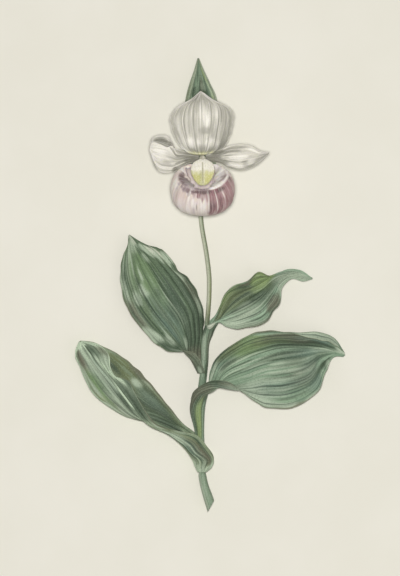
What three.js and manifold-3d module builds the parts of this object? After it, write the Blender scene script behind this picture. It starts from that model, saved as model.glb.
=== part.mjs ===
// Showy lady's slipper (Cypripedium), one cut flowering stem lying on its back.
// Millimetres, +Z up, z = 0 is the surface it lies on. +Y runs from the cut end to the flower.
// The origin is the flat spot under the clasping base of the lowest leaf.
import * as THREE from 'three';
import Module from 'manifold-3d';

const wasm = await Module();
wasm.setup();
const { Manifold, Mesh: SolidMesh } = wasm;

// ---- driving dimensions (mm) ----
const LEAF_THICK = 0.7;
const SEPAL_THICK = 0.75;
const PETAL_THICK = 0.75;
const BRACT_THICK = 0.65;
// The foot is cut on the slant.
const FOOT_CUT = { facing: [-0.88, 0.48, 0], reach: -18.5 };

// A blade is drawn by five guide curves, from its base to its tip: the two margins,
// the midrib, and one curve half way out on each side. Each guide is a list of [x, y, z].
const leaf1 = {
  near: [
    [0.3, 54.6, 9.5], [-1, 58.2, 10], [-2.3, 61.8, 10.6], [-4.5, 65.8, 11.6], [-7.8, 68.5, 12.5],
    [-12.3, 68.8, 12.4], [-18.2, 68.1, 11.5], [-26.3, 69.5, 10.5], [-34.1, 75.1, 9.5],
    [-41.9, 83.2, 8.5], [-48.8, 92.1, 7.5], [-52.8, 102.7, 6.9], [-55.4, 114.4, 6.5],
    [-55.7, 123, 6.4], [-53.4, 130.4, 6], [-50.1, 136.5, 5.4], [-49.6, 143.5, 4.6],
  ],
  nearMid: [
    [-3.6, 54.6, 8.7], [-6.2, 60.8, 10], [-11.5, 66.3, 11.8], [-16.2, 72.5, 12.4], [-24.7, 82.5, 12.2],
    [-37.1, 98.8, 11], [-45.5, 117, 10], [-48.4, 132, 8], [-49.4, 143.9, 4.8],
  ],
  rib: [
    [-4.5, 54.6, 4.8], [-8.1, 61.8, 6.6], [-10.5, 68.9, 8.5], [-11.4, 78, 11], [-15.9, 91.7, 12.8],
    [-25.7, 106, 13], [-35.1, 120.9, 11.5], [-43.6, 134.2, 8.8], [-49.1, 144.3, 5],
  ],
  farMid: [
    [-1.7, 54.6, 2.3], [-5.7, 63.4, 2.9], [-6.6, 69.9, 4.2], [-6, 80, 7], [-7.6, 93.9, 9.6],
    [-14.6, 107.9, 11], [-25.4, 122.2, 10.8], [-37.7, 135.2, 8.4], [-48.8, 144.1, 4.8],
  ],
  far: [
    [1, 54.6, 2.6], [-0.1, 58.5, 2], [-1.3, 62.4, 1.6], [-1.8, 66, 1.4], [-2.1, 69.5, 1.3],
    [-1.9, 75.1, 1.1], [-1.7, 80.6, 1.2], [-1.3, 87.1, 2], [-1.2, 94.2, 3.4], [-2.3, 101.7, 5],
    [-5.2, 108.2, 6.5], [-10, 115.5, 7.4], [-16.1, 120.4, 8], [-19.8, 126.2, 8.2], [-25.5, 133, 8],
    [-36.1, 136.2, 6.6], [-48.4, 143.7, 4.6],
  ],
};
const leaf2 = {
  near: [
    [-4.7, 44.2, 7.3], [-2.7, 59.8, 7.1], [-2.5, 72.8, 7.5], [-1.4, 80, 8.2], [0, 85.2, 9.6],
    [3.4, 82.8, 12.6], [9.1, 87.8, 12.8], [15.3, 84, 13.8], [25.4, 83.3, 14.5], [37.7, 86.3, 13.5],
    [44.5, 93.9, 12.6], [49.1, 101.4, 11.5], [50.4, 109.9, 9.5], [56.6, 115.6, 8], [63.7, 114, 8],
    [69.4, 115.5, 6],
  ],
  nearMid: [
    [-2.3, 44.2, 8.5], [-0.3, 59.8, 8.3], [0.3, 72.8, 8.8], [1, 79.6, 9.6], [2.3, 84.5, 10.4],
    [3.6, 86.6, 11.3], [9.1, 88.5, 11.6], [14, 89.4, 12.2], [22.8, 92.3, 12], [32.8, 97.2, 11],
    [38.4, 102, 10.2], [42.9, 107.6, 9.3], [47.8, 113.4, 8], [54.9, 117.3, 7.5], [62.7, 116.2, 8],
    [69.5, 115.8, 6.1],
  ],
  rib: [
    [-0.1, 44.2, 6], [1.7, 59.8, 6], [2.5, 72.8, 6.2], [4.7, 79, 7], [6.2, 82.9, 8], [8.2, 86.5, 8.6],
    [10.7, 90.4, 9], [13.7, 94.9, 8], [19.2, 101.1, 6.8], [26.3, 106, 6], [31.9, 108.7, 5.7],
    [37.1, 111.3, 5.4], [44.5, 116.7, 5], [53.3, 119.3, 6], [61.8, 118.3, 7.3], [69.7, 116, 6.2],
  ],
  farMid: [
    [-1.7, 44.2, 3.7], [-0.1, 59.8, 3.7], [0.3, 72.8, 3.3], [2.6, 81.9, 3.4], [4.2, 85.8, 4],
    [6.2, 89.4, 5], [8.5, 93.3, 6.5], [10.7, 98.2, 7.8], [15.3, 106, 9], [22.4, 109.5, 9.6],
    [28.3, 111.6, 7.3], [34.5, 115.7, 9.2], [43.2, 117.8, 5.5], [53.3, 120.6, 5.5], [61.8, 119.8, 7],
    [69.5, 116.3, 6.1],
  ],
  far: [
    [-4.7, 44.2, 4.7], [-2.7, 59.8, 4.9], [-2.5, 72.8, 4.5], [-0.3, 81.9, 3.2], [1.3, 85.5, 2.9],
    [3.2, 88.7, 3.2], [6.2, 92, 4.5], [9.2, 96.9, 7], [12.7, 106.3, 9.5], [19.2, 111.9, 11],
    [27.2, 114.3, 7.6], [34.8, 120.6, 11.6], [43.4, 117.5, 5.5], [53, 122, 5], [62.1, 121.4, 7],
    [69.4, 116.5, 6],
  ],
};
const leaf3 = {
  near: [
    [-5.2, 5.2, 3.7], [-5.6, 17.6, 3.8], [-8.1, 31.2, 5.2], [-7.6, 42.6, 10.5], [2.6, 49.4, 14.5],
    [15, 49.3, 16], [28.9, 38.4, 13], [39.3, 31.5, 11.2], [57.2, 32.2, 9.8], [73, 41, 9],
    [78.9, 55.9, 8], [83.2, 64.7, 5.6], [89.6, 65.2, 4.5],
  ],
  nearMid: [
    [-6, 5.2, 7], [-6.5, 17.6, 7.2], [-9.2, 31.5, 9.5], [-4.9, 41.6, 14], [4.9, 45.8, 16],
    [15.6, 44.7, 15.5], [28.9, 45.8, 10], [38.4, 47.8, 7.4], [51.4, 48.8, 6], [67, 53.6, 5.5],
    [75.4, 63.1, 5.5], [83.5, 66.7, 4.6], [90.4, 65.7, 4.5],
  ],
  rib: [
    [-3.2, 5.2, 9], [-3.5, 17.6, 9.2], [-4.2, 31.5, 11.8], [-0.7, 39.6, 13.4], [6.2, 44.2, 12.8],
    [13.7, 55.2, 8.5], [27.3, 62.4, 5.2], [38, 66.3, 3], [49.4, 69.2, 1.4], [63.7, 70.4, 0.8],
    [73.5, 70.2, 1.4], [82.9, 68.9, 3.4], [90.9, 66.4, 4.5],
  ],
  farMid: [
    [-0.5, 5.2, 7], [-0.9, 17.6, 7.2], [-0.3, 32.5, 9], [2.1, 41.6, 9.3], [5.5, 51.4, 7.5],
    [10.4, 61.4, 7.5], [24.1, 70.9, 9], [34.8, 74.6, 8.7], [46.8, 76.7, 8], [61.1, 75.7, 7],
    [72.2, 76, 6.5], [82.2, 72.2, 5.4], [90.7, 67.2, 4.5],
  ],
  far: [
    [-1.3, 5.2, 3.7], [-1.7, 17.6, 3.8], [-0.7, 34.1, 4], [2.5, 46.5, 4.8], [3.2, 57.2, 4.8],
    [9.4, 67.1, 8], [22.4, 76.2, 11.6], [33.5, 81.4, 12.2], [45.5, 82.7, 12], [61.8, 78.5, 12.6],
    [73.5, 75.8, 12], [82.9, 72.9, 8.4], [90.1, 68.2, 4.5],
  ],
  farFold: [
    [-1, 5.2, 5], [-1.4, 17.6, 5.2], [-0.5, 33.5, 6], [2.3, 44.5, 6.6], [4.2, 54.9, 5.9],
    [9.8, 64.8, 7.8], [23.1, 74, 10.6], [34, 78.7, 10.8], [46, 80.3, 10.4], [60.5, 80.3, 11.2],
    [73.1, 81.4, 9.6], [83.5, 77.2, 6.6], [90.4, 67.9, 4.5],
  ],
};
const leaf4 = {
  near: [
    [1, -9.5, 6.9], [4.7, -5.9, 7.3], [5.6, -0.7, 7.6], [1, 7.8, 11], [-5.5, 14.6, 12.6],
    [-17.6, 17.3, 13.8], [-30.6, 20.7, 15], [-38.7, 30.6, 16.8], [-45.5, 42.6, 17.8],
    [-49.4, 49.5, 17.8], [-57.5, 52.5, 17], [-61, 58.8, 15], [-62.1, 66.3, 13], [-68.9, 73.3, 9.8],
    [-80, 75.5, 7],
  ],
  nearMid: [
    [-1.8, -9.5, 8.9], [-1, -6.5, 11.2], [-0.1, -2, 12.6], [-6.2, 2.9, 13.4], [-11.1, 8.8, 13.4],
    [-21.8, 15, 13], [-34.8, 20.7, 13.5], [-42.6, 28.9, 15.3], [-49.7, 38.7, 16], [-55.6, 46.5, 15.6],
    [-62.1, 54.3, 14.6], [-66.6, 61.4, 13], [-69.9, 67.6, 11.4], [-73.8, 71.8, 9.5], [-80.4, 75, 7.2],
  ],
  rib: [
    [-4.7, -9.5, 6.5], [-6.4, -5.9, 7.1], [-8.1, -1.3, 7.8], [-12, 4.9, 9], [-17.2, 10.2, 9],
    [-25.4, 16.8, 9.4], [-36.1, 21.6, 10.4], [-46.1, 29.2, 12], [-55.2, 39.3, 12.8],
    [-62.1, 48.4, 12.4], [-67.9, 55.9, 11.4], [-72.5, 62.1, 10.2], [-76, 67.3, 9], [-78.7, 71.3, 8],
    [-80.9, 74.8, 7.2],
  ],
  farMid: [
    [-2.5, -9.5, 3.1], [-0.8, -5.5, 0.9], [1, 0.3, 0.1], [-7.2, 8.5, 1.3], [-13.7, 15.3, 2.4],
    [-23.7, 20.8, 3.4], [-36.7, 25.4, 4], [-49.2, 26.5, 5], [-62.3, 33.8, 5.6], [-71.8, 41.6, 5.6],
    [-77.4, 51.1, 5.6], [-80.9, 59.5, 5.8], [-83.7, 65.7, 6.2], [-83.3, 70.5, 6.6], [-81.6, 75, 6.8],
  ],
  far: [
    [1, -9.5, 4.9], [4.7, -5.2, 4.9], [5.6, 0.7, 5.2], [1.2, 7.2, 2], [-6.8, 16.2, 1.2],
    [-14.2, 21.8, 2], [-22.4, 31.9, 1.5], [-29.2, 40.6, 0.7], [-36.4, 49.1, 0.4], [-43.2, 56.9, 0.4],
    [-50.7, 63.1, 0.9], [-58.5, 68.4, 1.6], [-65.7, 71.7, 2.8], [-72.5, 74.8, 4.6], [-80.7, 75.7, 6.6],
  ],
};
const dorsalSepal = {
  near: [
    [-4.2, 195.9, 24.2], [-11.1, 197.3, 29.5], [-17, 202.2, 31], [-20.9, 209.6, 33], [-23.5, 218.4, 34],
    [-19.4, 225.4, 32.5], [-10.3, 231.2, 30.5], [-3.4, 236.4, 29.2],
  ],
  nearMid: [
    [-3.4, 195.8, 24], [-6.8, 196.7, 30.4], [-9.8, 199.9, 27.5], [-12.3, 208.7, 26.3],
    [-13.7, 219.1, 26.8], [-11.7, 227.6, 27.8], [-6.5, 232.7, 28.6], [-3.1, 236.8, 29.1],
  ],
  rib: [
    [-2.6, 195.8, 24], [-2.4, 196.6, 30.8], [-2.4, 199.2, 26.6], [-2.4, 208.3, 24], [-2.5, 219.7, 24.4],
    [-2.6, 229.3, 25.6], [-2.6, 234, 27.4], [-2.7, 237.1, 29],
  ],
  farMid: [
    [-1.8, 195.8, 24], [2, 196.8, 30.4], [4.9, 199.9, 27.5], [7.2, 208.7, 26.3], [8.8, 219.7, 26.8],
    [7.5, 228.3, 27.8], [2, 233, 28.6], [-2.4, 236.8, 29.1],
  ],
  far: [
    [-1, 195.9, 24.2], [7.2, 198.1, 29.5], [12.9, 201.2, 31], [16.9, 210, 33], [19.2, 219.6, 34],
    [16, 225.8, 32.5], [6.2, 231.2, 30.5], [-2.1, 236.4, 29.2],
  ],
};
const synsepal = {
  near: [
    [-4.9, 190.1, 23], [-9.1, 186.2, 22.6], [-11.1, 178.1, 21.8], [-10.7, 169.7, 22],
    [-7.5, 163.2, 23], [-3, 159.4, 24],
  ],
  nearMid: [
    [-3.6, 189.9, 22.6], [-5.5, 185.6, 20.8], [-6.5, 177.5, 18.6], [-6.3, 169, 18.8],
    [-4.9, 162.8, 20.6], [-2.5, 159.1, 23.6],
  ],
  rib: [
    [-2, 189.8, 22.5], [-1.8, 185.2, 20.2], [-1.8, 177.1, 17.4], [-1.8, 168.7, 17.6],
    [-1.8, 162.5, 19.8], [-2, 159, 23.4],
  ],
  farMid: [
    [-0.3, 189.9, 22.6], [2, 185.6, 20.8], [3, 177.5, 18.6], [2.8, 169, 18.8], [1.3, 162.8, 20.6],
    [-1.4, 159.1, 23.6],
  ],
  far: [
    [1, 190.1, 23], [5.5, 186.2, 22.6], [7.5, 178.1, 21.8], [7.2, 169.7, 22], [3.9, 163.2, 23],
    [-0.9, 159.4, 24],
  ],
};
const petalLeft = {
  near: [
    [-4.1, 195.9, 23], [-12.3, 198.2, 25], [-18.9, 200.1, 27], [-22.1, 201.8, 29.6],
    [-24.4, 200.8, 32.5], [-28.9, 202.8, 34], [-33.1, 203.9, 34], [-35.5, 201.5, 32.4],
  ],
  nearMid: [
    [-4.1, 195, 23.2], [-12.3, 196.3, 24.6], [-18.7, 197.6, 26.4], [-21.5, 203.8, 29],
    [-24.4, 207.7, 30.8], [-29.6, 208.1, 31.8], [-33.8, 206.2, 32.6], [-35.7, 200.8, 32.2],
  ],
  rib: [
    [-4.1, 194, 23.4], [-12, 193.9, 24.2], [-18.5, 192.7, 25.4], [-21.8, 193.7, 26.4],
    [-25, 194.3, 27.4], [-29.6, 195.7, 29], [-33.5, 197.3, 30.8], [-35.8, 199.8, 32],
  ],
  farMid: [
    [-4.1, 193.1, 23.2], [-11.7, 191.8, 25], [-17.9, 189.5, 26.4], [-20.8, 188.5, 27.4],
    [-24.4, 188.5, 28.4], [-28.6, 189.5, 29.6], [-32.8, 193.1, 31], [-35.6, 198.8, 31.8],
  ],
  far: [
    [-4.1, 192.1, 23], [-11.4, 189.8, 26], [-16.9, 186.9, 27.8], [-20.5, 184.9, 28.8],
    [-25.4, 184.1, 29.8], [-30, 185.5, 30.8], [-33.5, 191.1, 31.6], [-35.4, 197.9, 31.6],
  ],
};
const petalRight = {
  near: [
    [0.5, 195.9, 23], [9.1, 198.9, 25.4], [15.3, 202, 27.6], [22.8, 203, 29.2], [29.6, 202, 30],
    [35.1, 198.9, 31], [40.5, 197.7, 32.2],
  ],
  nearMid: [
    [0.5, 195, 23.2], [9.1, 196.6, 24.6], [15.5, 198.4, 26.2], [22.8, 199.2, 27.6],
    [29.4, 198.9, 28.8], [35.2, 197.1, 30.4], [40.8, 197.4, 32.2],
  ],
  rib: [
    [0.5, 194, 23.4], [9.1, 194.5, 24.2], [15.6, 194.5, 25.4], [22.8, 194.5, 26.6], [29.2, 195.3, 28],
    [35.2, 195.5, 30], [41, 197, 32.2],
  ],
  farMid: [
    [0.5, 193.1, 23.2], [9.2, 192.5, 25], [15.6, 190.8, 26.4], [22.8, 189.8, 28], [29.2, 190.8, 29.6],
    [34.8, 192.7, 31], [40.7, 196.6, 32.2],
  ],
  far: [
    [0.5, 192.1, 23], [9.4, 190.6, 26], [15.3, 187.3, 27.8], [22.1, 185.9, 29.8], [28.9, 187.2, 31.2],
    [34.5, 190.2, 32], [40.3, 196.1, 32.2],
  ],
};
const floralBract = {
  near: [
    [-5, 161.2, 8.4], [-8.1, 178.8, 8], [-10.4, 199.6, 7], [-10.7, 219.1, 6], [-9.6, 233.3, 5.6],
    [-7.4, 242.5, 5.4], [-5.5, 250.9, 5], [-4.5, 258.6, 4.4],
  ],
  nearMid: [
    [-5.7, 160.6, 4.6], [-10.7, 178.8, 4.2], [-13.3, 199.6, 3.6], [-13.7, 219.1, 3.4],
    [-12, 233.3, 3.6], [-9.6, 242.5, 3.8], [-7, 250.9, 3.9], [-4.7, 258.8, 4],
  ],
  rib: [
    [-2.9, 159.9, 1.6], [-2.9, 178.8, 0.3], [-2.9, 199.6, 0.2], [-2.9, 219.1, 0.2], [-3.1, 233.3, 0.8],
    [-3.6, 242.5, 1.4], [-4, 250.9, 2.4], [-4.4, 259.1, 3.8],
  ],
  farMid: [
    [0, 160.6, 4.6], [4.9, 178.8, 4.2], [7.4, 199.6, 3.6], [8.1, 219.1, 3.4], [7, 233.3, 3.6],
    [3.1, 242.5, 3.8], [-0.8, 250.9, 3.9], [-4, 258.8, 4],
  ],
  far: [
    [-0.7, 161.2, 8.4], [2.3, 178.8, 8], [4.5, 199.6, 7], [5.2, 219.1, 6], [4.3, 233.3, 5.6],
    [0.8, 242.5, 5.4], [-2.3, 250.9, 5], [-4.1, 258.6, 4.4],
  ],
};

// Round pieces: the centre line and the radius at each of its points.
const stemLine = [
  [5.6, -37.1, 6], [2, -26, 6], [-0.4, -18.5, 6], [-1.8, -11.7, 6], [-2, -8.5, 6], [-2.6, 1.3, 6],
  [-3.2, 12.3, 6], [-3.8, 24.1, 6], [-3.8, 33.8, 6], [-2.9, 42.2, 6], [-1.5, 50.1, 6], [-0.7, 57.9, 6],
  [-0.3, 69.5, 6], [0.3, 77.4, 6], [1.2, 85.8, 6], [2.2, 97.5, 6], [2.7, 108.5, 6], [2.5, 119, 6],
  [0.7, 133.2, 5.8], [-1.7, 146.9, 5.6], [-2.7, 155.3, 5.4], [-2.8, 161.8, 5.4],
];
const stemRadius = [3.3, 3.05, 2.7, 2.5, 1.8, 1.6, 1.6, 1.6, 1.55, 1.3, 1.4, 1.45, 1.45, 1.45, 1.45,
  1.45, 1.5, 1.5, 1.45, 1.45, 1.5, 1.6];
const ovaryLine = [
  [-2.8, 162.8, 5.5], [-2.7, 170.3, 6.6], [-2.5, 178.1, 9.2], [-2.1, 185.9, 13.6], [-1.9, 191.4, 19],
  [-1.8, 194, 22],
];
const ovaryRadius = [1.9, 2.3, 2.6, 2.6, 2.2, 1.8];

// The pouch of the lip: a boxy egg with a slanting round mouth whose rim folds inward.
const POUCH = {
  centre: [-1.6, 173.5, 38.0],
  half: [20.6, 17.3, 16.0],
  square: 2.35,
  mouthTilt: 51,
  mouthHalfAngle: 55,
  wall: 0.9,
  rimFold: 2.0,
  // on each side the fold widens to a flap that slopes into the pouch
  flaps: [
    { toward: -6, spread: 64, reach: 6.6 },
    { toward: -168, spread: 56, reach: 5.4 },
  ],
  flapSink: 0.5,
  flutes: 20,
  fluteDepth: 0.25,
};

// The shield in the mouth of the pouch.
const SHIELD = { centre: [-1.5, 185.9, 43.4], halfWidth: 7.5, up: 9.0, down: 10.7, thick: 2.2, tilt: 25 };

const COLOURS = {
  leaf: '#5f7a58',
  leafPale: '#8aa583',
  stem: '#8b9775',
  bract: '#5c6b50',
  sepal: '#cfccc2',
  petal: '#e3dfd3',
  pouch: '#c9aaa4',
  shield: '#e0dc9a',
};

// ---- helpers ----
const lerp = (a, b, t) => a + (b - a) * t;
const clamp = (x, a, b) => Math.min(b, Math.max(a, x));
const smooth = (a, b, x) => {
  const t = clamp((x - a) / (b - a), 0, 1);
  return t * t * (3 - 2 * t);
};
const add = (a, b) => [a[0] + b[0], a[1] + b[1], a[2] + b[2]];
const sub = (a, b) => [a[0] - b[0], a[1] - b[1], a[2] - b[2]];
const scale = (a, s) => [a[0] * s, a[1] * s, a[2] * s];
const cross = (a, b) => [a[1] * b[2] - a[2] * b[1], a[2] * b[0] - a[0] * b[2], a[0] * b[1] - a[1] * b[0]];
const length = (a) => Math.hypot(a[0], a[1], a[2]);
const unit = (a) => scale(a, 1 / (length(a) || 1));

// Smooth curve through points or numbers; t runs from 0 to 1.
function along(points, t) {
  const n = points.length - 1;
  const x = clamp(t, 0, 1) * n;
  const i = Math.min(Math.floor(x), n - 1);
  const f = x - i;
  const pick = (k) => {
    if (k < 0) return mix(points[0], points[1], -1);
    if (k > n) return mix(points[n], points[n - 1], -1);
    return points[k];
  };
  return cubic(pick(i - 1), pick(i), pick(i + 1), pick(i + 2), f);
}

function mix(a, b, t) {
  return Array.isArray(a) ? a.map((v, k) => lerp(v, b[k], t)) : lerp(a, b, t);
}

function cubic(a, b, c, d, f) {
  const one = (p, q, r, s) =>
    0.5 * (2 * q + (r - p) * f + (2 * p - 5 * q + 4 * r - s) * f * f + (3 * q - p - 3 * r + s) * f * f * f);
  return Array.isArray(a) ? a.map((v, k) => one(v, b[k], c[k], d[k])) : one(a, b, c, d);
}

// Where each guide curve lies across the blade: -1 is the near margin, 1 the far one.
const ACROSS = { near: -1, nearMid: -0.5, rib: 0, farMid: 0.5, farFold: 0.8, far: 1 };

// Point of the undecorated surface: u from base to tip, v from near margin to far margin.
function guidePoint(guides, u, v) {
  const names = Object.keys(ACROSS).filter((name) => guides[name]);
  const at = names.map((name) => ACROSS[name]);
  const row = names.map((name) => along(guides[name], u));
  const last = row.length - 1;
  const slope = (i) => {
    const [a, b] = [Math.max(i - 1, 0), Math.min(i + 1, last)];
    if (b - a < 2) return scale(sub(row[b], row[a]), 1 / (at[b] - at[a]));
    const [h0, h1] = [at[i] - at[a], at[b] - at[i]];
    const [s0, s1] = [scale(sub(row[i], row[a]), 1 / h0), scale(sub(row[b], row[i]), 1 / h1)];
    return scale(add(scale(s0, h1), scale(s1, h0)), 1 / (h0 + h1));
  };
  let i = 0;
  while (i < last - 1 && v > at[i + 1]) i++;
  const h = at[i + 1] - at[i];
  const f = (v - at[i]) / h;
  const [f2, f3] = [f * f, f * f * f];
  return add(
    add(scale(row[i], 2 * f3 - 3 * f2 + 1), scale(slope(i), h * (f3 - 2 * f2 + f))),
    add(scale(row[i + 1], 3 * f2 - 2 * f3), scale(slope(i + 1), h * (f3 - f2))),
  );
}

function normalAt(surface, u, v) {
  const e = 0.004;
  const u0 = Math.max(u - e, 0);
  const u1 = Math.min(u + e, 1);
  const v0 = Math.max(v - 2 * e, -1);
  const v1 = Math.min(v + 2 * e, 1);
  const du = sub(surface(u1, v), surface(u0, v));
  const dv = sub(surface(u, v1), surface(u, v0));
  return unit(cross(du, dv));
}

// Pleats and margin waves stand along the normal of the plain surface.
function decorated(guides, look) {
  const plain = (u, v) => guidePoint(guides, u, v);
  return (u, v) => {
    const p = plain(u, v);
    const ends = smooth(0, look.pleatFrom ?? 0.12, u) * (1 - smooth(0.86, 1, u));
    const inner = 1 - smooth(0.88, 1, Math.abs(v));
    const pleat = look.pleat * ends * inner * Math.cos(2 * Math.PI * look.pleats * v);
    const side = v < 0 ? look.waveNear : look.waveFar;
    const wave = side[0] * ends * Math.abs(v) ** 3 * Math.sin(2 * Math.PI * side[1] * u + side[2]);
    const keel = (look.keel ?? 0) * ends * Math.exp(-((v / 0.09) ** 2));
    const d = pleat + wave - keel;
    return add(p, scale(normalAt(plain, u, v), d));
  };
}

// ---- solids ----
function solid(positions, triangles) {
  let volume = 0;
  for (const [a, b, c] of triangles) {
    const n = cross(positions[b], positions[c]);
    volume += positions[a][0] * n[0] + positions[a][1] * n[1] + positions[a][2] * n[2];
  }
  if (volume < 0) triangles = triangles.map(([a, b, c]) => [a, c, b]);
  const mesh = new SolidMesh({
    numProp: 3,
    vertProperties: new Float32Array(positions.flat()),
    triVerts: new Uint32Array(triangles.flat()),
  });
  mesh.merge();
  return new Manifold(mesh);
}

// Thin closed blade: the surface offset half the thickness each way, joined round its edge.
function bladeSolid(surface, thick, lengths, widths) {
  const grid = (side) => {
    const out = [];
    for (let i = 0; i <= lengths; i++) {
      for (let j = 0; j <= widths; j++) {
        const u = i / lengths;
        const v = (2 * j) / widths - 1;
        out.push(add(surface(u, v), scale(normalAt(surface, u, v), (side * thick) / 2)));
      }
    }
    return out;
  };
  const top = grid(1);
  const points = [...top, ...grid(-1)];
  const n = top.length;
  const at = (i, j) => i * (widths + 1) + j;
  const faces = [];
  const quad = (a, b, c, d) => faces.push([a, b, c], [a, c, d]);
  for (let i = 0; i < lengths; i++) {
    for (let j = 0; j < widths; j++) {
      const [a, b, c, d] = [at(i, j), at(i + 1, j), at(i + 1, j + 1), at(i, j + 1)];
      quad(a, b, c, d);
      faces.push([n + a, n + c, n + b], [n + a, n + d, n + c]);
    }
  }
  for (let i = 0; i < lengths; i++) {
    quad(at(i + 1, 0), at(i, 0), n + at(i, 0), n + at(i + 1, 0));
    quad(at(i, widths), at(i + 1, widths), n + at(i + 1, widths), n + at(i, widths));
  }
  for (let j = 0; j < widths; j++) {
    quad(at(0, j), at(0, j + 1), n + at(0, j + 1), n + at(0, j));
    quad(at(lengths, j + 1), at(lengths, j), n + at(lengths, j), n + at(lengths, j + 1));
  }
  return solid(points, faces);
}

// Round rod along a line, with lengthwise ribs if asked for.
function rodSolid(line, radius, steps, sides, ribs = 0, ribDepth = 0) {
  const points = [];
  const faces = [];
  for (let i = 0; i <= steps; i++) {
    const t = i / steps;
    const p = along(line, t);
    const ahead = unit(sub(along(line, Math.min(t + 0.01, 1)), along(line, Math.max(t - 0.01, 0))));
    const across = unit(cross(ahead, [0, 0, 1]));
    const up = cross(across, ahead);
    const r = along(radius, t);
    for (let k = 0; k < sides; k++) {
      const a = (2 * Math.PI * k) / sides;
      const rr = r + ribDepth * Math.cos(ribs * a);
      points.push(add(p, add(scale(across, rr * Math.cos(a)), scale(up, rr * Math.sin(a)))));
    }
  }
  for (let i = 0; i < steps; i++) {
    for (let k = 0; k < sides; k++) {
      const m = (k + 1) % sides;
      const [a, b, c, d] = [i * sides + k, i * sides + m, (i + 1) * sides + m, (i + 1) * sides + k];
      faces.push([a, b, c], [a, c, d]);
    }
  }
  const first = points.length;
  points.push(along(line, 0), along(line, 1));
  for (let k = 0; k < sides; k++) {
    const m = (k + 1) % sides;
    faces.push([first, m, k], [first + 1, steps * sides + k, steps * sides + m]);
  }
  return solid(points, faces);
}

// The pouch wall from the pole opposite the mouth, out round the body, over the rim and inward.
function pouchSolid(rows, sides) {
  const tilt = THREE.MathUtils.degToRad(POUCH.mouthTilt);
  const mouth = [0, Math.sin(tilt), Math.cos(tilt)];
  const east = [1, 0, 0];
  const north = cross(mouth, east);
  const last = 180 - POUCH.mouthHalfAngle;
  const body = (phi, a, inset) => {
    const p = THREE.MathUtils.degToRad(phi);
    const outward = add(scale(east, Math.cos(a)), scale(north, Math.sin(a)));
    const dir = add(scale(mouth, -Math.cos(p)), scale(outward, Math.sin(p)));
    const s = POUCH.square;
    const sum = dir.reduce((t, v, k) => t + Math.abs(v / (POUCH.half[k] - inset)) ** s, 0);
    const flute = POUCH.fluteDepth * Math.cos(POUCH.flutes * a) * Math.sin(p) ** 2;
    return add(POUCH.centre, scale(dir, sum ** (-1 / s) + flute));
  };
  const ring = (phi, inset) => {
    const out = [];
    for (let k = 0; k < sides; k++) out.push(body(phi, (2 * Math.PI * k) / sides, inset));
    return out;
  };
  const rings = [];
  for (let i = 1; i <= rows; i++) rings.push(ring((last * i) / rows, 0));
  const mouthCentre = add(POUCH.centre, scale(mouth, POUCH.half[2] * 0.62));
  const foldReach = (k) => {
    let reach = POUCH.rimFold;
    for (const flap of POUCH.flaps) {
      const turn = Math.abs(((360 * k) / sides - flap.toward + 540) % 360 - 180);
      reach += flap.reach * (1 - smooth(flap.spread * 0.4, flap.spread, turn));
    }
    return reach;
  };
  const root = 1.7;
  const fold = (part, drop, under) =>
    ring(last, 0).map((p, k) => {
      const reach = foldReach(k);
      const depth = under ? root + (reach - root) * part : reach * part;
      const sag = POUCH.flapSink * Math.max(0, depth - root);
      const inward = unit(sub(mouthCentre, p));
      return add(add(p, scale(inward, depth)), scale(mouth, drop - sag));
    });
  rings.push(fold(0.3, 0.5, false), fold(0.65, 0.4, false), fold(1, -0.3, false));
  rings.push(fold(0.95, -1.05, true), fold(0.5, -0.85, true), fold(0, -1.1, true));
  for (let i = rows - 1; i >= 1; i--) rings.push(ring((last * i) / rows, POUCH.wall));
  const points = rings.flat();
  const faces = [];
  for (let i = 0; i < rings.length - 1; i++) {
    for (let k = 0; k < sides; k++) {
      const m = (k + 1) % sides;
      const [a, b, c, d] = [i * sides + k, i * sides + m, (i + 1) * sides + m, (i + 1) * sides + k];
      faces.push([a, b, c], [a, c, d]);
    }
  }
  const pole = points.length;
  points.push(body(0, 0, 0), body(0, 0, POUCH.wall));
  const end = (rings.length - 1) * sides;
  for (let k = 0; k < sides; k++) {
    const m = (k + 1) % sides;
    faces.push([pole, m, k], [pole + 1, end + k, end + m]);
  }
  return solid(points, faces);
}

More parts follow.
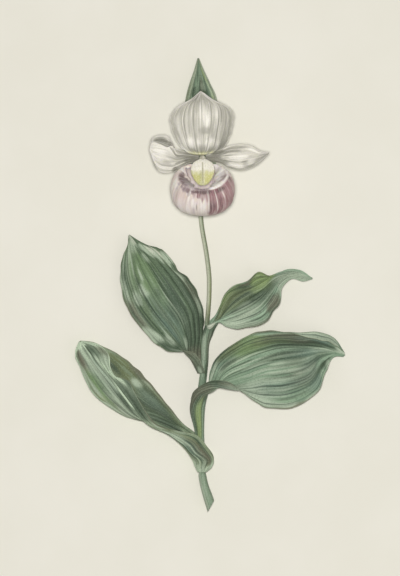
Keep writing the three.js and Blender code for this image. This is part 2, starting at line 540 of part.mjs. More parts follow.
// Convex shield with a groove down its middle.
function shieldSolid(rings, sides) {
  const tilt = THREE.MathUtils.degToRad(SHIELD.tilt);
  const upward = [0, Math.cos(tilt), -Math.sin(tilt)];
  const outward = [0, Math.sin(tilt), Math.cos(tilt)];
  const place = (x, y, z) => add(SHIELD.centre, add([x, 0, 0], add(scale(upward, y), scale(outward, z))));
  const rim = (a) => {
    const x = SHIELD.halfWidth * Math.cos(a) * (1 - 0.12 * smooth(0, 1, -Math.sin(a)));
    const y = Math.sin(a) * (Math.sin(a) > 0 ? SHIELD.up : SHIELD.down);
    return [x, y];
  };
  const face = (a, r, front) => {
    const [x, y] = rim(a).map((v) => v * r);
    const dome = Math.sqrt(Math.max(0, 1 - r ** 2.4));
    const groove = front ? 0.45 * Math.exp(-((x / 0.7) ** 2)) * dome : 0;
    return place(x, y, (front ? SHIELD.thick * 0.75 : -SHIELD.thick * 0.25) * dome - groove);
  };
  const points = [];
  for (let i = 1; i < rings; i++) {
    for (let k = 0; k < sides; k++) points.push(face((2 * Math.PI * k) / sides, i / rings, true));
  }
  for (let k = 0; k < sides; k++) points.push(face((2 * Math.PI * k) / sides, 1, true));
  for (let i = rings - 1; i >= 1; i--) {
    for (let k = 0; k < sides; k++) points.push(face((2 * Math.PI * k) / sides, i / rings, false));
  }
  const faces = [];
  const rows = 2 * rings - 1;
  for (let i = 0; i < rows - 1; i++) {
    for (let k = 0; k < sides; k++) {
      const m = (k + 1) % sides;
      const [a, b, c, d] = [i * sides + k, (i + 1) * sides + k, (i + 1) * sides + m, i * sides + m];
      faces.push([a, b, c], [a, c, d]);
    }
  }
  const pole = points.length;
  points.push(face(0, 0, true), face(0, 0, false));
  const end = (rows - 1) * sides;
  for (let k = 0; k < sides; k++) {
    const m = (k + 1) % sides;
    faces.push([pole, k, m], [pole + 1, end + m, end + k]);
  }
  return solid(points, faces);
}

const ball = (centre, half, sides = 12) =>
  Manifold.sphere(1, sides).scale(half).translate(centre);

// ---- the pieces ----
const aboveSurface = (body) => body.trimByPlane([0, 0, 1], 0);

const stemBody = rodSolid(stemLine, stemRadius, 50, 12)
  .trimByPlane(unit(FOOT_CUT.facing), FOOT_CUT.reach);

// Body of the column on its foot, an anther on each side and the stigma hanging into the mouth.
const column = ball([-1.8, 190.9, 28.6], [2.6, 2.2, 4.6])
  .add(ball([-1.75, 193.2, 26.0], [1.9, 1.8, 1.7]))
  .add(ball([-1.6, 189.6, 33.6], [2.6, 2.4, 5.2]))
  .add(ball([-4.6, 188.8, 34.6], [1.3, 1.2, 1.8]))
  .add(ball([1.4, 188.8, 34.6], [1.3, 1.2, 1.8]))
  .add(ball([-1.6, 185.6, 36.6], [2.5, 3.2, 1.4]));
// The notch at the back of the mouth where the column stands.
const columnNotch = ball([-1.7, 191.4, 33.5], [6.6, 6.6, 12], 24);
const lip = pouchSolid(13, 40).subtract(columnNotch);

const LOOKS = {
  leaf1: { pleats: 4, pleat: 0.4, waveNear: [0.9, 4, 0.5], waveFar: [0.9, 5, 1.2] },
  leaf2: { pleats: 3, pleat: 0.35, pleatFrom: 0.5, waveNear: [0.6, 4, 0.0], waveFar: [0.7, 4, 1.0] },
  leaf3: { pleats: 4, pleat: 0.42, pleatFrom: 0.45, waveNear: [0.8, 4, 0.5], waveFar: [0.7, 5, 0.2] },
  leaf4: { pleats: 4, pleat: 0.35, pleatFrom: 0.3, waveNear: [0.6, 4, 0.5], waveFar: [0.5, 5, 0.2] },
  sepal: { pleats: 4, pleat: 0.2, pleatFrom: 0.35, waveNear: [0.3, 3, 0], waveFar: [0.3, 3, 1] },
  petal: { pleats: 3, pleat: 0.14, pleatFrom: 0.25, waveNear: [0.2, 2, 0], waveFar: [0.3, 2, 1] },
  plain: { pleats: 1, pleat: 0, waveNear: [0, 1, 0], waveFar: [0, 1, 0] },
};

const pieces = [
  ['stem', stemBody, COLOURS.stem],
  ['ovary', rodSolid(ovaryLine, ovaryRadius, 12, 18, 6, 0.22), COLOURS.stem],
  ['leaf_1', bladeSolid(decorated(leaf1, LOOKS.leaf1), LEAF_THICK, 24, 16), COLOURS.leaf],
  ['leaf_2', bladeSolid(decorated(leaf2, LOOKS.leaf2), LEAF_THICK, 34, 12), COLOURS.leaf],
  ['leaf_3', bladeSolid(decorated(leaf3, LOOKS.leaf3), LEAF_THICK, 28, 16), COLOURS.leafPale],
  ['leaf_4', bladeSolid(decorated(leaf4, LOOKS.leaf4), LEAF_THICK, 26, 16), COLOURS.leafPale],
  ['floral_bract', bladeSolid(decorated(floralBract, LOOKS.plain), BRACT_THICK, 16, 12), COLOURS.bract],
  ['dorsal_sepal', bladeSolid(decorated(dorsalSepal, LOOKS.sepal), SEPAL_THICK, 18, 16), COLOURS.sepal],
  ['synsepal', bladeSolid(decorated(synsepal, LOOKS.plain), SEPAL_THICK, 10, 8), COLOURS.petal],
  ['petal_left', bladeSolid(decorated(petalLeft, LOOKS.petal), PETAL_THICK, 18, 12), COLOURS.petal],
  ['petal_right', bladeSolid(decorated(petalRight, LOOKS.petal), PETAL_THICK, 16, 12), COLOURS.petal],
  ['lip', lip, COLOURS.pouch],
  ['column', column, COLOURS.petal],
  ['staminode', shieldSolid(5, 24), COLOURS.shield],
];

const group = new THREE.Group();
group.name = 'lady_slipper';
for (const [name, body, colour] of pieces) {
  const mesh = aboveSurface(body).getMesh();
  const geometry = new THREE.BufferGeometry();
  geometry.setAttribute('position', new THREE.BufferAttribute(new Float32Array(mesh.vertProperties), 3));
  geometry.setIndex(new THREE.BufferAttribute(new Uint32Array(mesh.triVerts), 1));
  geometry.computeVertexNormals();
  const piece = new THREE.Mesh(geometry, new THREE.MeshStandardMaterial({ color: colour, roughness: 0.6 }));
  piece.name = name;
  group.add(piece);
}
export default group;
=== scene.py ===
# Lady's slipper orchid: one cut flowering stem lying on its back.
# The frame is in metres; every length below is in millimetres and is scaled as the mesh is written.
import bpy, bmesh, math
import numpy as np
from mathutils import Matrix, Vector
from mathutils.kdtree import KDTree


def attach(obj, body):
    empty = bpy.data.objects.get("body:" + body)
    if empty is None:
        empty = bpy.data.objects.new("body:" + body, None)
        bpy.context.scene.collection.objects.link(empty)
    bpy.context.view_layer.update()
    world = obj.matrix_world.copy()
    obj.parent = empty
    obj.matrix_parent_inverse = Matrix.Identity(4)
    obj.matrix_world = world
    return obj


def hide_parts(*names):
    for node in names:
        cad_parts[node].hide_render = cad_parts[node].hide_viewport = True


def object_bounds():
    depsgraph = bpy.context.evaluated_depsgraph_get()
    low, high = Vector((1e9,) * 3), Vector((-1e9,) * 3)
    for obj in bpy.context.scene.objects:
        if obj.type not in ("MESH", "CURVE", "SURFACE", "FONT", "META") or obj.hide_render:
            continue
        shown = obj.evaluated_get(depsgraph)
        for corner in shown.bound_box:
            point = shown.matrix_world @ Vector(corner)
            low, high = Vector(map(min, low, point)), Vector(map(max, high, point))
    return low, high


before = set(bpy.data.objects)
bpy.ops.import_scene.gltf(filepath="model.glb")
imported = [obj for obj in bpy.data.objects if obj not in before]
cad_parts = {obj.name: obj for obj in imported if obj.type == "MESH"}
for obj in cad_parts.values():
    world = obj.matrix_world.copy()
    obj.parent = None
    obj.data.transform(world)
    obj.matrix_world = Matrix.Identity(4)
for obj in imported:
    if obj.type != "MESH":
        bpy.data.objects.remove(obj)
cadBox = [list(corner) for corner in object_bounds()]
scene = bpy.context.scene
mm = 0.001

# the camera looks straight down through a long lens, so the stem keeps its proportions from end to end
view = {"lookAt": (-3.25, 109.85), "lens": 500.0, "sensor": 36.0, "pictureHeight": 374.4}
viewHeight = view["pictureHeight"] * view["lens"] / view["sensor"]
print("frame loaded,", len(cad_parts), "nodes to dress")


def smoothStep(a, b, x):
    t = np.clip((np.asarray(x, float) - a) / (b - a), 0, 1)
    return t * t * (3 - 2 * t)


def unitRows(a):
    return a / np.maximum(np.linalg.norm(a, axis=-1, keepdims=True), 1e-9)


def along(points, t):
    # smooth curve through the points, t from 0 at the first to 1 at the last
    pts = np.asarray(points, float)
    last = len(pts) - 1
    pts = np.concatenate([[2 * pts[0] - pts[1]], pts, [2 * pts[-1] - pts[-2]]])
    x = np.clip(t, 0, 1) * last
    i = np.minimum(np.floor(x).astype(int), last - 1)
    f = x - i
    a, b, c, d = (pts[i + k] for k in range(4))
    if pts.ndim > 1:
        f = f[..., None]
    return 0.5 * (2 * b + (c - a) * f + (2 * a - 5 * b + 4 * c - d) * f**2 + (3 * b - a - 3 * c + d) * f**3)


# where each guide curve lies across a blade: -1 near margin, 0 midrib, 1 far margin
guidePlaces = {"near": -1, "nearMid": -0.5, "rib": 0, "farMid": 0.5, "farFold": 0.8, "far": 1}


def guideSurface(guides, u, v):
    names = [name for name in guidePlaces if name in guides]
    at = np.array([guidePlaces[name] for name in names], float)
    rows = np.stack([along(guides[name], u) for name in names])
    gap = np.diff(at)
    rise = np.diff(rows, axis=0) / gap[:, None, None, None]
    slopes = np.empty_like(rows)
    slopes[0], slopes[-1] = rise[0], rise[-1]
    for k in range(1, len(at) - 1):
        slopes[k] = (rise[k - 1] * gap[k] + rise[k] * gap[k - 1]) / (gap[k - 1] + gap[k])
    i = np.searchsorted(at[1:-1], v, side="left")
    pick = lambda table, k: np.take_along_axis(table, k[None, ..., None], axis=0)[0]
    h = gap[i][..., None]
    f = ((v - at[i]) / gap[i])[..., None]
    start, end = pick(rows, i), pick(rows, i + 1)
    return (start * (2 * f**3 - 3 * f**2 + 1) + pick(slopes, i) * h * (f**3 - 2 * f**2 + f)
            + end * (3 * f**2 - 2 * f**3) + pick(slopes, i + 1) * h * (f**3 - f**2))


def surfaceNormal(surface, u, v, step=0.004):
    du = surface(np.minimum(u + step, 1), v) - surface(np.maximum(u - step, 0), v)
    dv = surface(u, np.minimum(v + 2 * step, 1)) - surface(u, np.maximum(v - 2 * step, -1))
    return unitRows(np.cross(du, dv))


def gridNormal(points):
    return unitRows(np.cross(np.gradient(points, axis=0), np.gradient(points, axis=1)))


def gentle(x, y, seed):
    # slow unevenness between about -1 and 1
    rng = np.random.default_rng(seed)
    total = 0
    for _ in range(7):
        a, b = rng.uniform(0.4, 1.6, 2) * rng.choice([-1, 1], 2)
        total = total + np.sin(a * x + b * y + rng.uniform(0, 6.28))
    return total / 3.2


def newPiece(name, points, faces, lay, layers, look, replaced):
    # nothing stands out of the box of the solid model
    points = np.clip(points, np.array(cadBox[0]) / mm, np.array(cadBox[1]) / mm)
    mesh = bpy.data.meshes.new(name)
    mesh.from_pydata((np.asarray(points) * mm).tolist(), [], [list(map(int, f)) for f in faces])
    mesh.validate()
    piece = bpy.data.objects.new(name, mesh)
    scene.collection.objects.link(piece)
    return dress(piece, lay, layers, look, replaced)


def addAttribute(mesh, name, kind, field, values):
    mesh.attributes.new(name, kind, "POINT").data.foreach_set(field, np.asarray(values, float).ravel())


def dress(piece, lay, layers, look, replaced):
    # lay: where a point lies on its own piece; the washes are laid over one another point by point,
    # from a trace of grey on, so that the cover is never nothing
    mesh = piece.data
    trace = 1e-4
    cover = np.full(len(mesh.vertices), trace)
    colour = np.full((len(cover), 3), 0.5 * trace)
    for tint, amount in layers:
        amount = np.clip(amount, 0, 1).ravel()
        colour = colour * (1 - amount)[:, None] + amount[:, None] * paint(look["tints"][tint])[:3]
        cover = 1 - (1 - cover) * (1 - amount)
    colour = np.concatenate([colour / cover[:, None], np.ones((len(cover), 1))], 1)
    addAttribute(mesh, "lay", "FLOAT_VECTOR", "vector", lay)
    addAttribute(mesh, "wash", "FLOAT_COLOR", "color", colour)
    addAttribute(mesh, "cover", "FLOAT", "value", cover)
    mesh.polygons.foreach_set("use_smooth", [True] * len(mesh.polygons))
    mesh.materials.clear()
    mesh.materials.append(plantFinish(piece.name, look))
    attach(piece, "root")
    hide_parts(replaced)
    print(piece.name, len(mesh.polygons), "faces")
    return piece


def outwards(points, faces):
    # turns the faces if the closed mesh is inside out
    p = np.asarray(points)
    volume = 0
    for f in faces:
        volume += sum(np.dot(p[f[0]], np.cross(p[f[k]], p[f[k + 1]])) for k in range(1, len(f) - 1))
    return faces if volume > 0 else [f[::-1] for f in faces]


def gridFaces(rows, columns, closed=False):
    i = np.arange(rows - 1)[:, None]
    j = np.arange(columns if closed else columns - 1)[None, :]
    k = (j + 1) % columns
    a, b, c, d = i * columns + j, (i + 1) * columns + j, (i + 1) * columns + k, i * columns + k
    return np.stack([a, b, c, d], -1).reshape(-1, 4).tolist()


def seenFromAbove(points):
    # where the camera sees each point, in the plane of the table
    middle = np.array(view["lookAt"])
    return middle + (points[..., :2] - middle) * (viewHeight / (viewHeight - points[..., 2:]))


def topmost(seen, heights, x, y, within):
    # of the points that show within a short way of a place, the highest
    away = np.hypot(seen[..., 0] - x, seen[..., 1] - y)
    near = away < max(within, away.min() + 0.2 * within)
    return np.unravel_index(np.argmax(np.where(near, heights, -np.inf)), near.shape)


# The washes of a blade are soft patches: (tint, x, y, length along the blade, width across it, strength),
# in millimetres where the camera sees them, with the strength in hundredths. One that says share has its
# place and its reach each way in hundredths of the blade instead: along from the base, across from the
# midrib.
# many of the patches are painted light: the dark ones are painted shade in folds, hollows and the far halves
# of folded blades, and the palest are painted highlights on turned margins; the rest are the blades' own
# tints and veins
washing = {
    "rowsAlong": 240, "rowsAcross": 160, "around": 6,  # the grid that places are looked up on
    "within": 0.65, "withinPouch": 0.52,  # how near to its place a patch lands, on the topmost fold
    "mostAlong": 0.6, "mostAcross": 0.9,  # its furthest reach each way, in shares of the blade
}


def bladeWashes(blade, u, v):
    rows, columns = washing["rowsAlong"], washing["rowsAcross"]
    lengthwise, crosswise = np.linspace(0, 1, rows + 1), np.linspace(-1, 1, columns + 1)
    skin = guideSurface(blade["guides"], *np.meshgrid(lengthwise, crosswise, indexing="ij"))
    seen = seenFromAbove(skin)
    perLength = np.linalg.norm(np.gradient(seen, axis=0), axis=-1) * rows
    perWidth = np.linalg.norm(np.gradient(seen, axis=1), axis=-1) * columns / 2
    for tint, *numbers in blade["washes"]:
        if numbers[0] == "share":
            u0, v0, du, dv, strength = (number / 100 for number in numbers[1:])
        else:
            x, y, long, wide, strength = numbers
            i, j = topmost(seen, skin[..., 2], x, y, washing["within"])
            near = tuple(slice(max(k - washing["around"], 0), k + washing["around"] + 1) for k in (i, j))
            u0, du = lengthwise[i], min(0.5 * long / np.median(perLength[near]), washing["mostAlong"])
            v0, dv = crosswise[j], min(0.5 * wide / np.median(perWidth[near]), washing["mostAcross"])
            strength = strength / 100
        far = ((u - u0) / du) ** 2 + ((v - v0) / dv) ** 2
        yield tint, np.tile((strength * np.exp(-(far**2))).ravel(), 2)


# how every blade is made
making = {
    "crowding": 1.25,  # the rows of points lie closer together toward the margins
    "fadeTip": 0.86, "fadeMargin": 0.88,  # from here the pleats and ribs fade out
    "edge": 0.3, "edgeRound": 14,  # the edge's share of the thickness, and how late it thins
    "lowest": 0.01,
}


def makeBlade(name, replaced, blade, look):
    lengths, widths = blade["mesh"]
    across = np.sin(np.linspace(-1, 1, widths + 1) * making["crowding"]) / math.sin(making["crowding"])
    u, v = np.meshgrid(np.linspace(0, 1, lengths + 1), across, indexing="ij")
    plain = lambda a, b: guideSurface(blade["guides"], a, b)
    ends = smoothStep(0, blade.get("pleatFrom", 0.12), u) * (1 - smoothStep(making["fadeTip"], 1, u))
    inner = 1 - smoothStep(making["fadeMargin"], 1, abs(v))
    lift = blade.get("pleat", 0) * np.cos(2 * math.pi * blade.get("pleats", 1) * v)
    lift = lift + blade["rib"] * np.cos(2 * math.pi * blade["ribs"] * v + gentle(9 * u, 2 * v, 3))
    lift = lift * ends * inner
    for side, key in ((v < 0, "waveNear"), (v >= 0, "waveFar")):
        height, count, shift = blade.get(key, (0, 1, 0))
        lift = lift + side * height * ends * abs(v) ** 3 * np.sin(2 * math.pi * count * u + shift)
    lift = lift + blade["uneven"] * ends * gentle(14 * u, 5 * v, blade["seed"])
    # the margin is nibbled in and out a little
    frill = blade.get("frill", 0) * (0.5 - 0.5 * gentle(60 * u, 3 * np.sign(v), blade["seed"] + 5))
    middle = plain(u, v * (1 - frill * abs(v) ** 6)) + surfaceNormal(plain, u, v) * lift[..., None]
    body = np.sqrt(np.clip(1 - abs(v) ** making["edgeRound"], 0, 1))
    half = 0.5 * blade["thick"] * (making["edge"] + (1 - making["edge"]) * body)
    offset = gridNormal(middle) * half[..., None]
    count = u.size
    points = np.concatenate([(middle + offset).reshape(-1, 3), (middle - offset).reshape(-1, 3)])
    points[:, 2] = np.maximum(points[:, 2], making["lowest"])
    rows, columns = u.shape
    top = gridFaces(rows, columns)
    faces = top + [[n + count for n in f[::-1]] for f in top]
    rim = [i * columns for i in range(rows)] + [(rows - 1) * columns + j for j in range(1, columns)]
    rim += [i * columns + columns - 1 for i in range(rows - 2, -1, -1)] + list(range(columns - 2, 0, -1))
    for a, b in zip(rim, rim[1:] + rim[:1]):
        faces.append([b, a, a + count, b + count])
    upper = np.full(u.shape, 1.0 if blade["upperSide"] > 0 else 0.0)
    lay = np.concatenate([np.stack([u, v, side], -1).reshape(-1, 3) for side in (upper, 1 - upper)])
    return newPiece(name, points, faces, lay, bladeWashes(blade, u, v), look, replaced)


def addNode(tree, kind, inputs=None, **settings):
    made = tree.nodes.new(kind)
    for key, value in settings.items():
        setattr(made, key, value)
    for key, value in (inputs or {}).items():
        if isinstance(value, bpy.types.NodeSocket):
            tree.links.new(value, made.inputs[key])
        else:
            made.inputs[key].default_value = value
    return made


def calc(tree, operation, *values):
    return addNode(tree, "ShaderNodeMath", dict(enumerate(values)), operation=operation).outputs[0]


def blend(tree, amount, first, second):
    return addNode(tree, "ShaderNodeMix", {0: amount, 6: first, 7: second}, data_type="RGBA").outputs[2]


def fit(tree, value, low, high, newLow=0.0, newHigh=1.0, curve="SMOOTHSTEP"):
    inputs = {"Value": value, "From Min": low, "From Max": high, "To Min": newLow, "To Max": newHigh}
    return addNode(tree, "ShaderNodeMapRange", inputs, interpolation_type=curve).outputs[0]


def noise(tree, vector, stretch, detail=3.0, rough=0.55, shift=0.0):
    inputs = {"Vector": vector, "Scale": stretch, "Location": (shift,) * 3}
    moved = addNode(tree, "ShaderNodeMapping", inputs)
    inputs = {"Vector": moved.outputs[0], "Scale": 1.0, "Detail": detail, "Roughness": rough}
    return addNode(tree, "ShaderNodeTexNoise", inputs).outputs[0]


def paint(hexColour):
    # sRGB hex to the linear colour that the shader takes
    parts = [int(hexColour[i:i + 2], 16) / 255 for i in (1, 3, 5)]
    return [c / 12.92 if c <= 0.04045 else ((c + 0.055) / 1.055) ** 2.4 for c in parts] + [1.0]


# what the skin of every piece has in common
skinLook = {
    "grainScale": 1300, "bumpDepth": 0.6 * mm, "bump": 0.5, "roughSpread": 0.06, "downRough": 0.6,
    "glowRadius": (0.9, 1.0, 0.6), "glowDepth": 1.5 * mm,
}


def plantFinish(name, look):
    material = bpy.data.materials.new(name)
    material.use_nodes = True
    tree = material.node_tree
    shader = tree.nodes["Principled BSDF"]
    lay = addNode(tree, "ShaderNodeAttribute", attribute_name="lay").outputs["Vector"]
    parts = addNode(tree, "ShaderNodeSeparateXYZ", {0: lay}).outputs
    across = parts[1]
    if look.get("round"):
        across = calc(tree, "DIVIDE", calc(tree, "ARCTAN2", parts[1], parts[0]), math.pi)
    place = addNode(tree, "ShaderNodeTexCoord").outputs["Object"]

    def over(amount, share, tone):
        # the colour so far with another tone laid over it
        return blend(tree, calc(tree, "MULTIPLY", amount, share), colour, paint(look[tone]))

    # broad washes of the two base colours, then long strokes that follow the blade
    mottle = noise(tree, place, (look["mottle"],) * 3, 3.0, 0.55, look["seed"])
    stroke = noise(tree, lay, look["stroke"], 4.0, 0.6, look["seed"] + 3)
    fine = noise(tree, lay, look["fibre"], 2.0, 0.6, look["seed"] + 7)
    colour = blend(tree, fit(tree, mottle, 0.35, 0.65), paint(look["colour"]), paint(look["second"]))
    if "under" in look:
        under = blend(tree, fit(tree, mottle, 0.35, 0.65), paint(look["under"]), paint(look["underSecond"]))
        colour = blend(tree, parts[2], under, colour)

    # the washes: their colour and place come with the mesh, the strokes fray their edges
    wash = addNode(tree, "ShaderNodeAttribute", attribute_name="wash").outputs["Color"]
    cover = addNode(tree, "ShaderNodeAttribute", attribute_name="cover").outputs["Fac"]
    grain = calc(tree, "SUBTRACT", calc(tree, "ADD", stroke, fine), 1.0)
    edge = fit(tree, calc(tree, "MULTIPLY_ADD", grain, look["ragged"], cover), 0.12, 0.5)
    amount = calc(tree, "MULTIPLY", edge, fit(tree, cover, 0.0, 0.9, 0.35, 1.0, "LINEAR"))
    colour = blend(tree, amount, colour, wash)

    # lengthwise strokes of light and dark, then finer hatching
    for value, low, high, amount, tone in ((stroke, 0.51, 0.64, "strokeLight", "light"),
                                           (stroke, 0.48, 0.36, "strokeDark", "shade"),
                                           (fine, 0.53, 0.64, "fibreLight", "light"),
                                           (fine, 0.47, 0.37, "fibreDark", "shade")):
        colour = over(fit(tree, value, low, high), look[amount], tone)

    # the down on the skin shows as a fine grain
    speck = noise(tree, place, (skinLook["grainScale"],) * 3, 1.0, 0.5, look["seed"] + 17)
    for value, share, tone in ((0.72, 1.0, "shade"), (0.28, 0.5, "light")):
        colour = over(fit(tree, speck, 0.5, value), share * look["grain"], tone)

    # veins run from base to tip, with finer ones between; the noise makes them wander, thicken and fade
    drift = calc(tree, "MULTIPLY", calc(tree, "SUBTRACT", stroke, 0.5), 0.9)
    fade = noise(tree, lay, look["stroke"], 2.0, 0.5, look["seed"] + 11)
    fade = fit(tree, fade, 0.38, 0.6, 0.1, 1.0)
    veinMark = 0.0
    for times, share in ((1, 1.0), (3, 0.45)):
        turn = calc(tree, "MULTIPLY_ADD", across, math.pi * look["veins"] * times, drift)
        wave = calc(tree, "MULTIPLY_ADD", calc(tree, "COSINE", turn), 0.5, 0.5)
        mark = calc(tree, "MULTIPLY", calc(tree, "POWER", wave, look["veinSharp"]), share)
        veinMark = calc(tree, "MAXIMUM", calc(tree, "MULTIPLY", mark, fade), veinMark)
        if times == 1:
            between = calc(tree, "POWER", calc(tree, "SUBTRACT", 1.0, wave), look["veinSharp"])
    colour = over(veinMark, look["veinDark"], "veinColour")
    colour = over(calc(tree, "MULTIPLY", between, fade), look["veinLight"], "light")

    # a thin line of another tone along the margins
    if look.get("rim"):
        edge = fit(tree, calc(tree, "ABSOLUTE", across), 1 - look["rimWidth"], 1.0)
        colour = over(edge, look["rimAmount"], "rim")
    tree.links.new(colour, shader.inputs["Base Color"])

    height = calc(tree, "ADD", calc(tree, "MULTIPLY", veinMark, -look["veinDeep"]),
                  calc(tree, "MULTIPLY", stroke, look["strokeDeep"]))
    height = calc(tree, "MULTIPLY_ADD", fine, look["fibreDeep"], height)
    inputs = {"Height": height, "Distance": skinLook["bumpDepth"], "Strength": skinLook["bump"]}
    tree.links.new(addNode(tree, "ShaderNodeBump", inputs).outputs[0], shader.inputs["Normal"])
    smooth, coarse = look["rough"] - skinLook["roughSpread"], look["rough"] + skinLook["roughSpread"]
    tree.links.new(fit(tree, fine, 0.3, 0.7, smooth, coarse), shader.inputs["Roughness"])
    shader.inputs["Specular IOR Level"].default_value = look["gloss"]
    shader.inputs["Sheen Weight"].default_value = look["down"]
    shader.inputs["Sheen Roughness"].default_value = skinLook["downRough"]
    shader.inputs["Subsurface Weight"].default_value = look["glow"]
    shader.inputs["Subsurface Radius"].default_value = skinLook["glowRadius"]
    shader.inputs["Subsurface Scale"].default_value = skinLook["glowDepth"]
    return material


# tints of the leaves: the dark one is painted shade in folds, hollows and sloping halves, and dark veins
# where it is thin; the palest is a painted highlight on turned margins and on the pale flap of the second
# leaf; brown and olive are partly the leaves' own colour and partly painted shade
leafTints = {
    "pale": "#b6c5ae", "dark": "#3f4f3c", "warm": "#8b9f66", "brown": "#6a6958", "cool": "#6d8478",
    "olive": "#69734e", "green": "#70895f", "paleHighlight": "#dcdecd",
}
leafFinish = {
    "colour": "#66775b", "second": "#586b52", "under": "#8a9f86", "underSecond": "#7d937b",
    "tints": leafTints, "light": "#a3b79e", "shade": "#445643",
    "mottle": 60, "stroke": (2.4, 8, 5), "fibre": (4, 24, 9), "seed": 2, "ragged": 0.9,
    "strokeLight": 0.28, "strokeDark": 0.38, "fibreLight": 0.28, "fibreDark": 0.5,
    "veins": 10, "veinDark": 0.8, "veinLight": 0.2, "veinColour": "#33433a", "veinDeep": 0.5,
    "veinSharp": 16, "grain": 0.34, "strokeDeep": 0.25, "fibreDeep": 0.12,
    "rough": 0.62, "down": 0.05, "gloss": 0.25, "glow": 0.0,
    "rim": "#7d7f66", "rimWidth": 0.03, "rimAmount": 0.7,
}

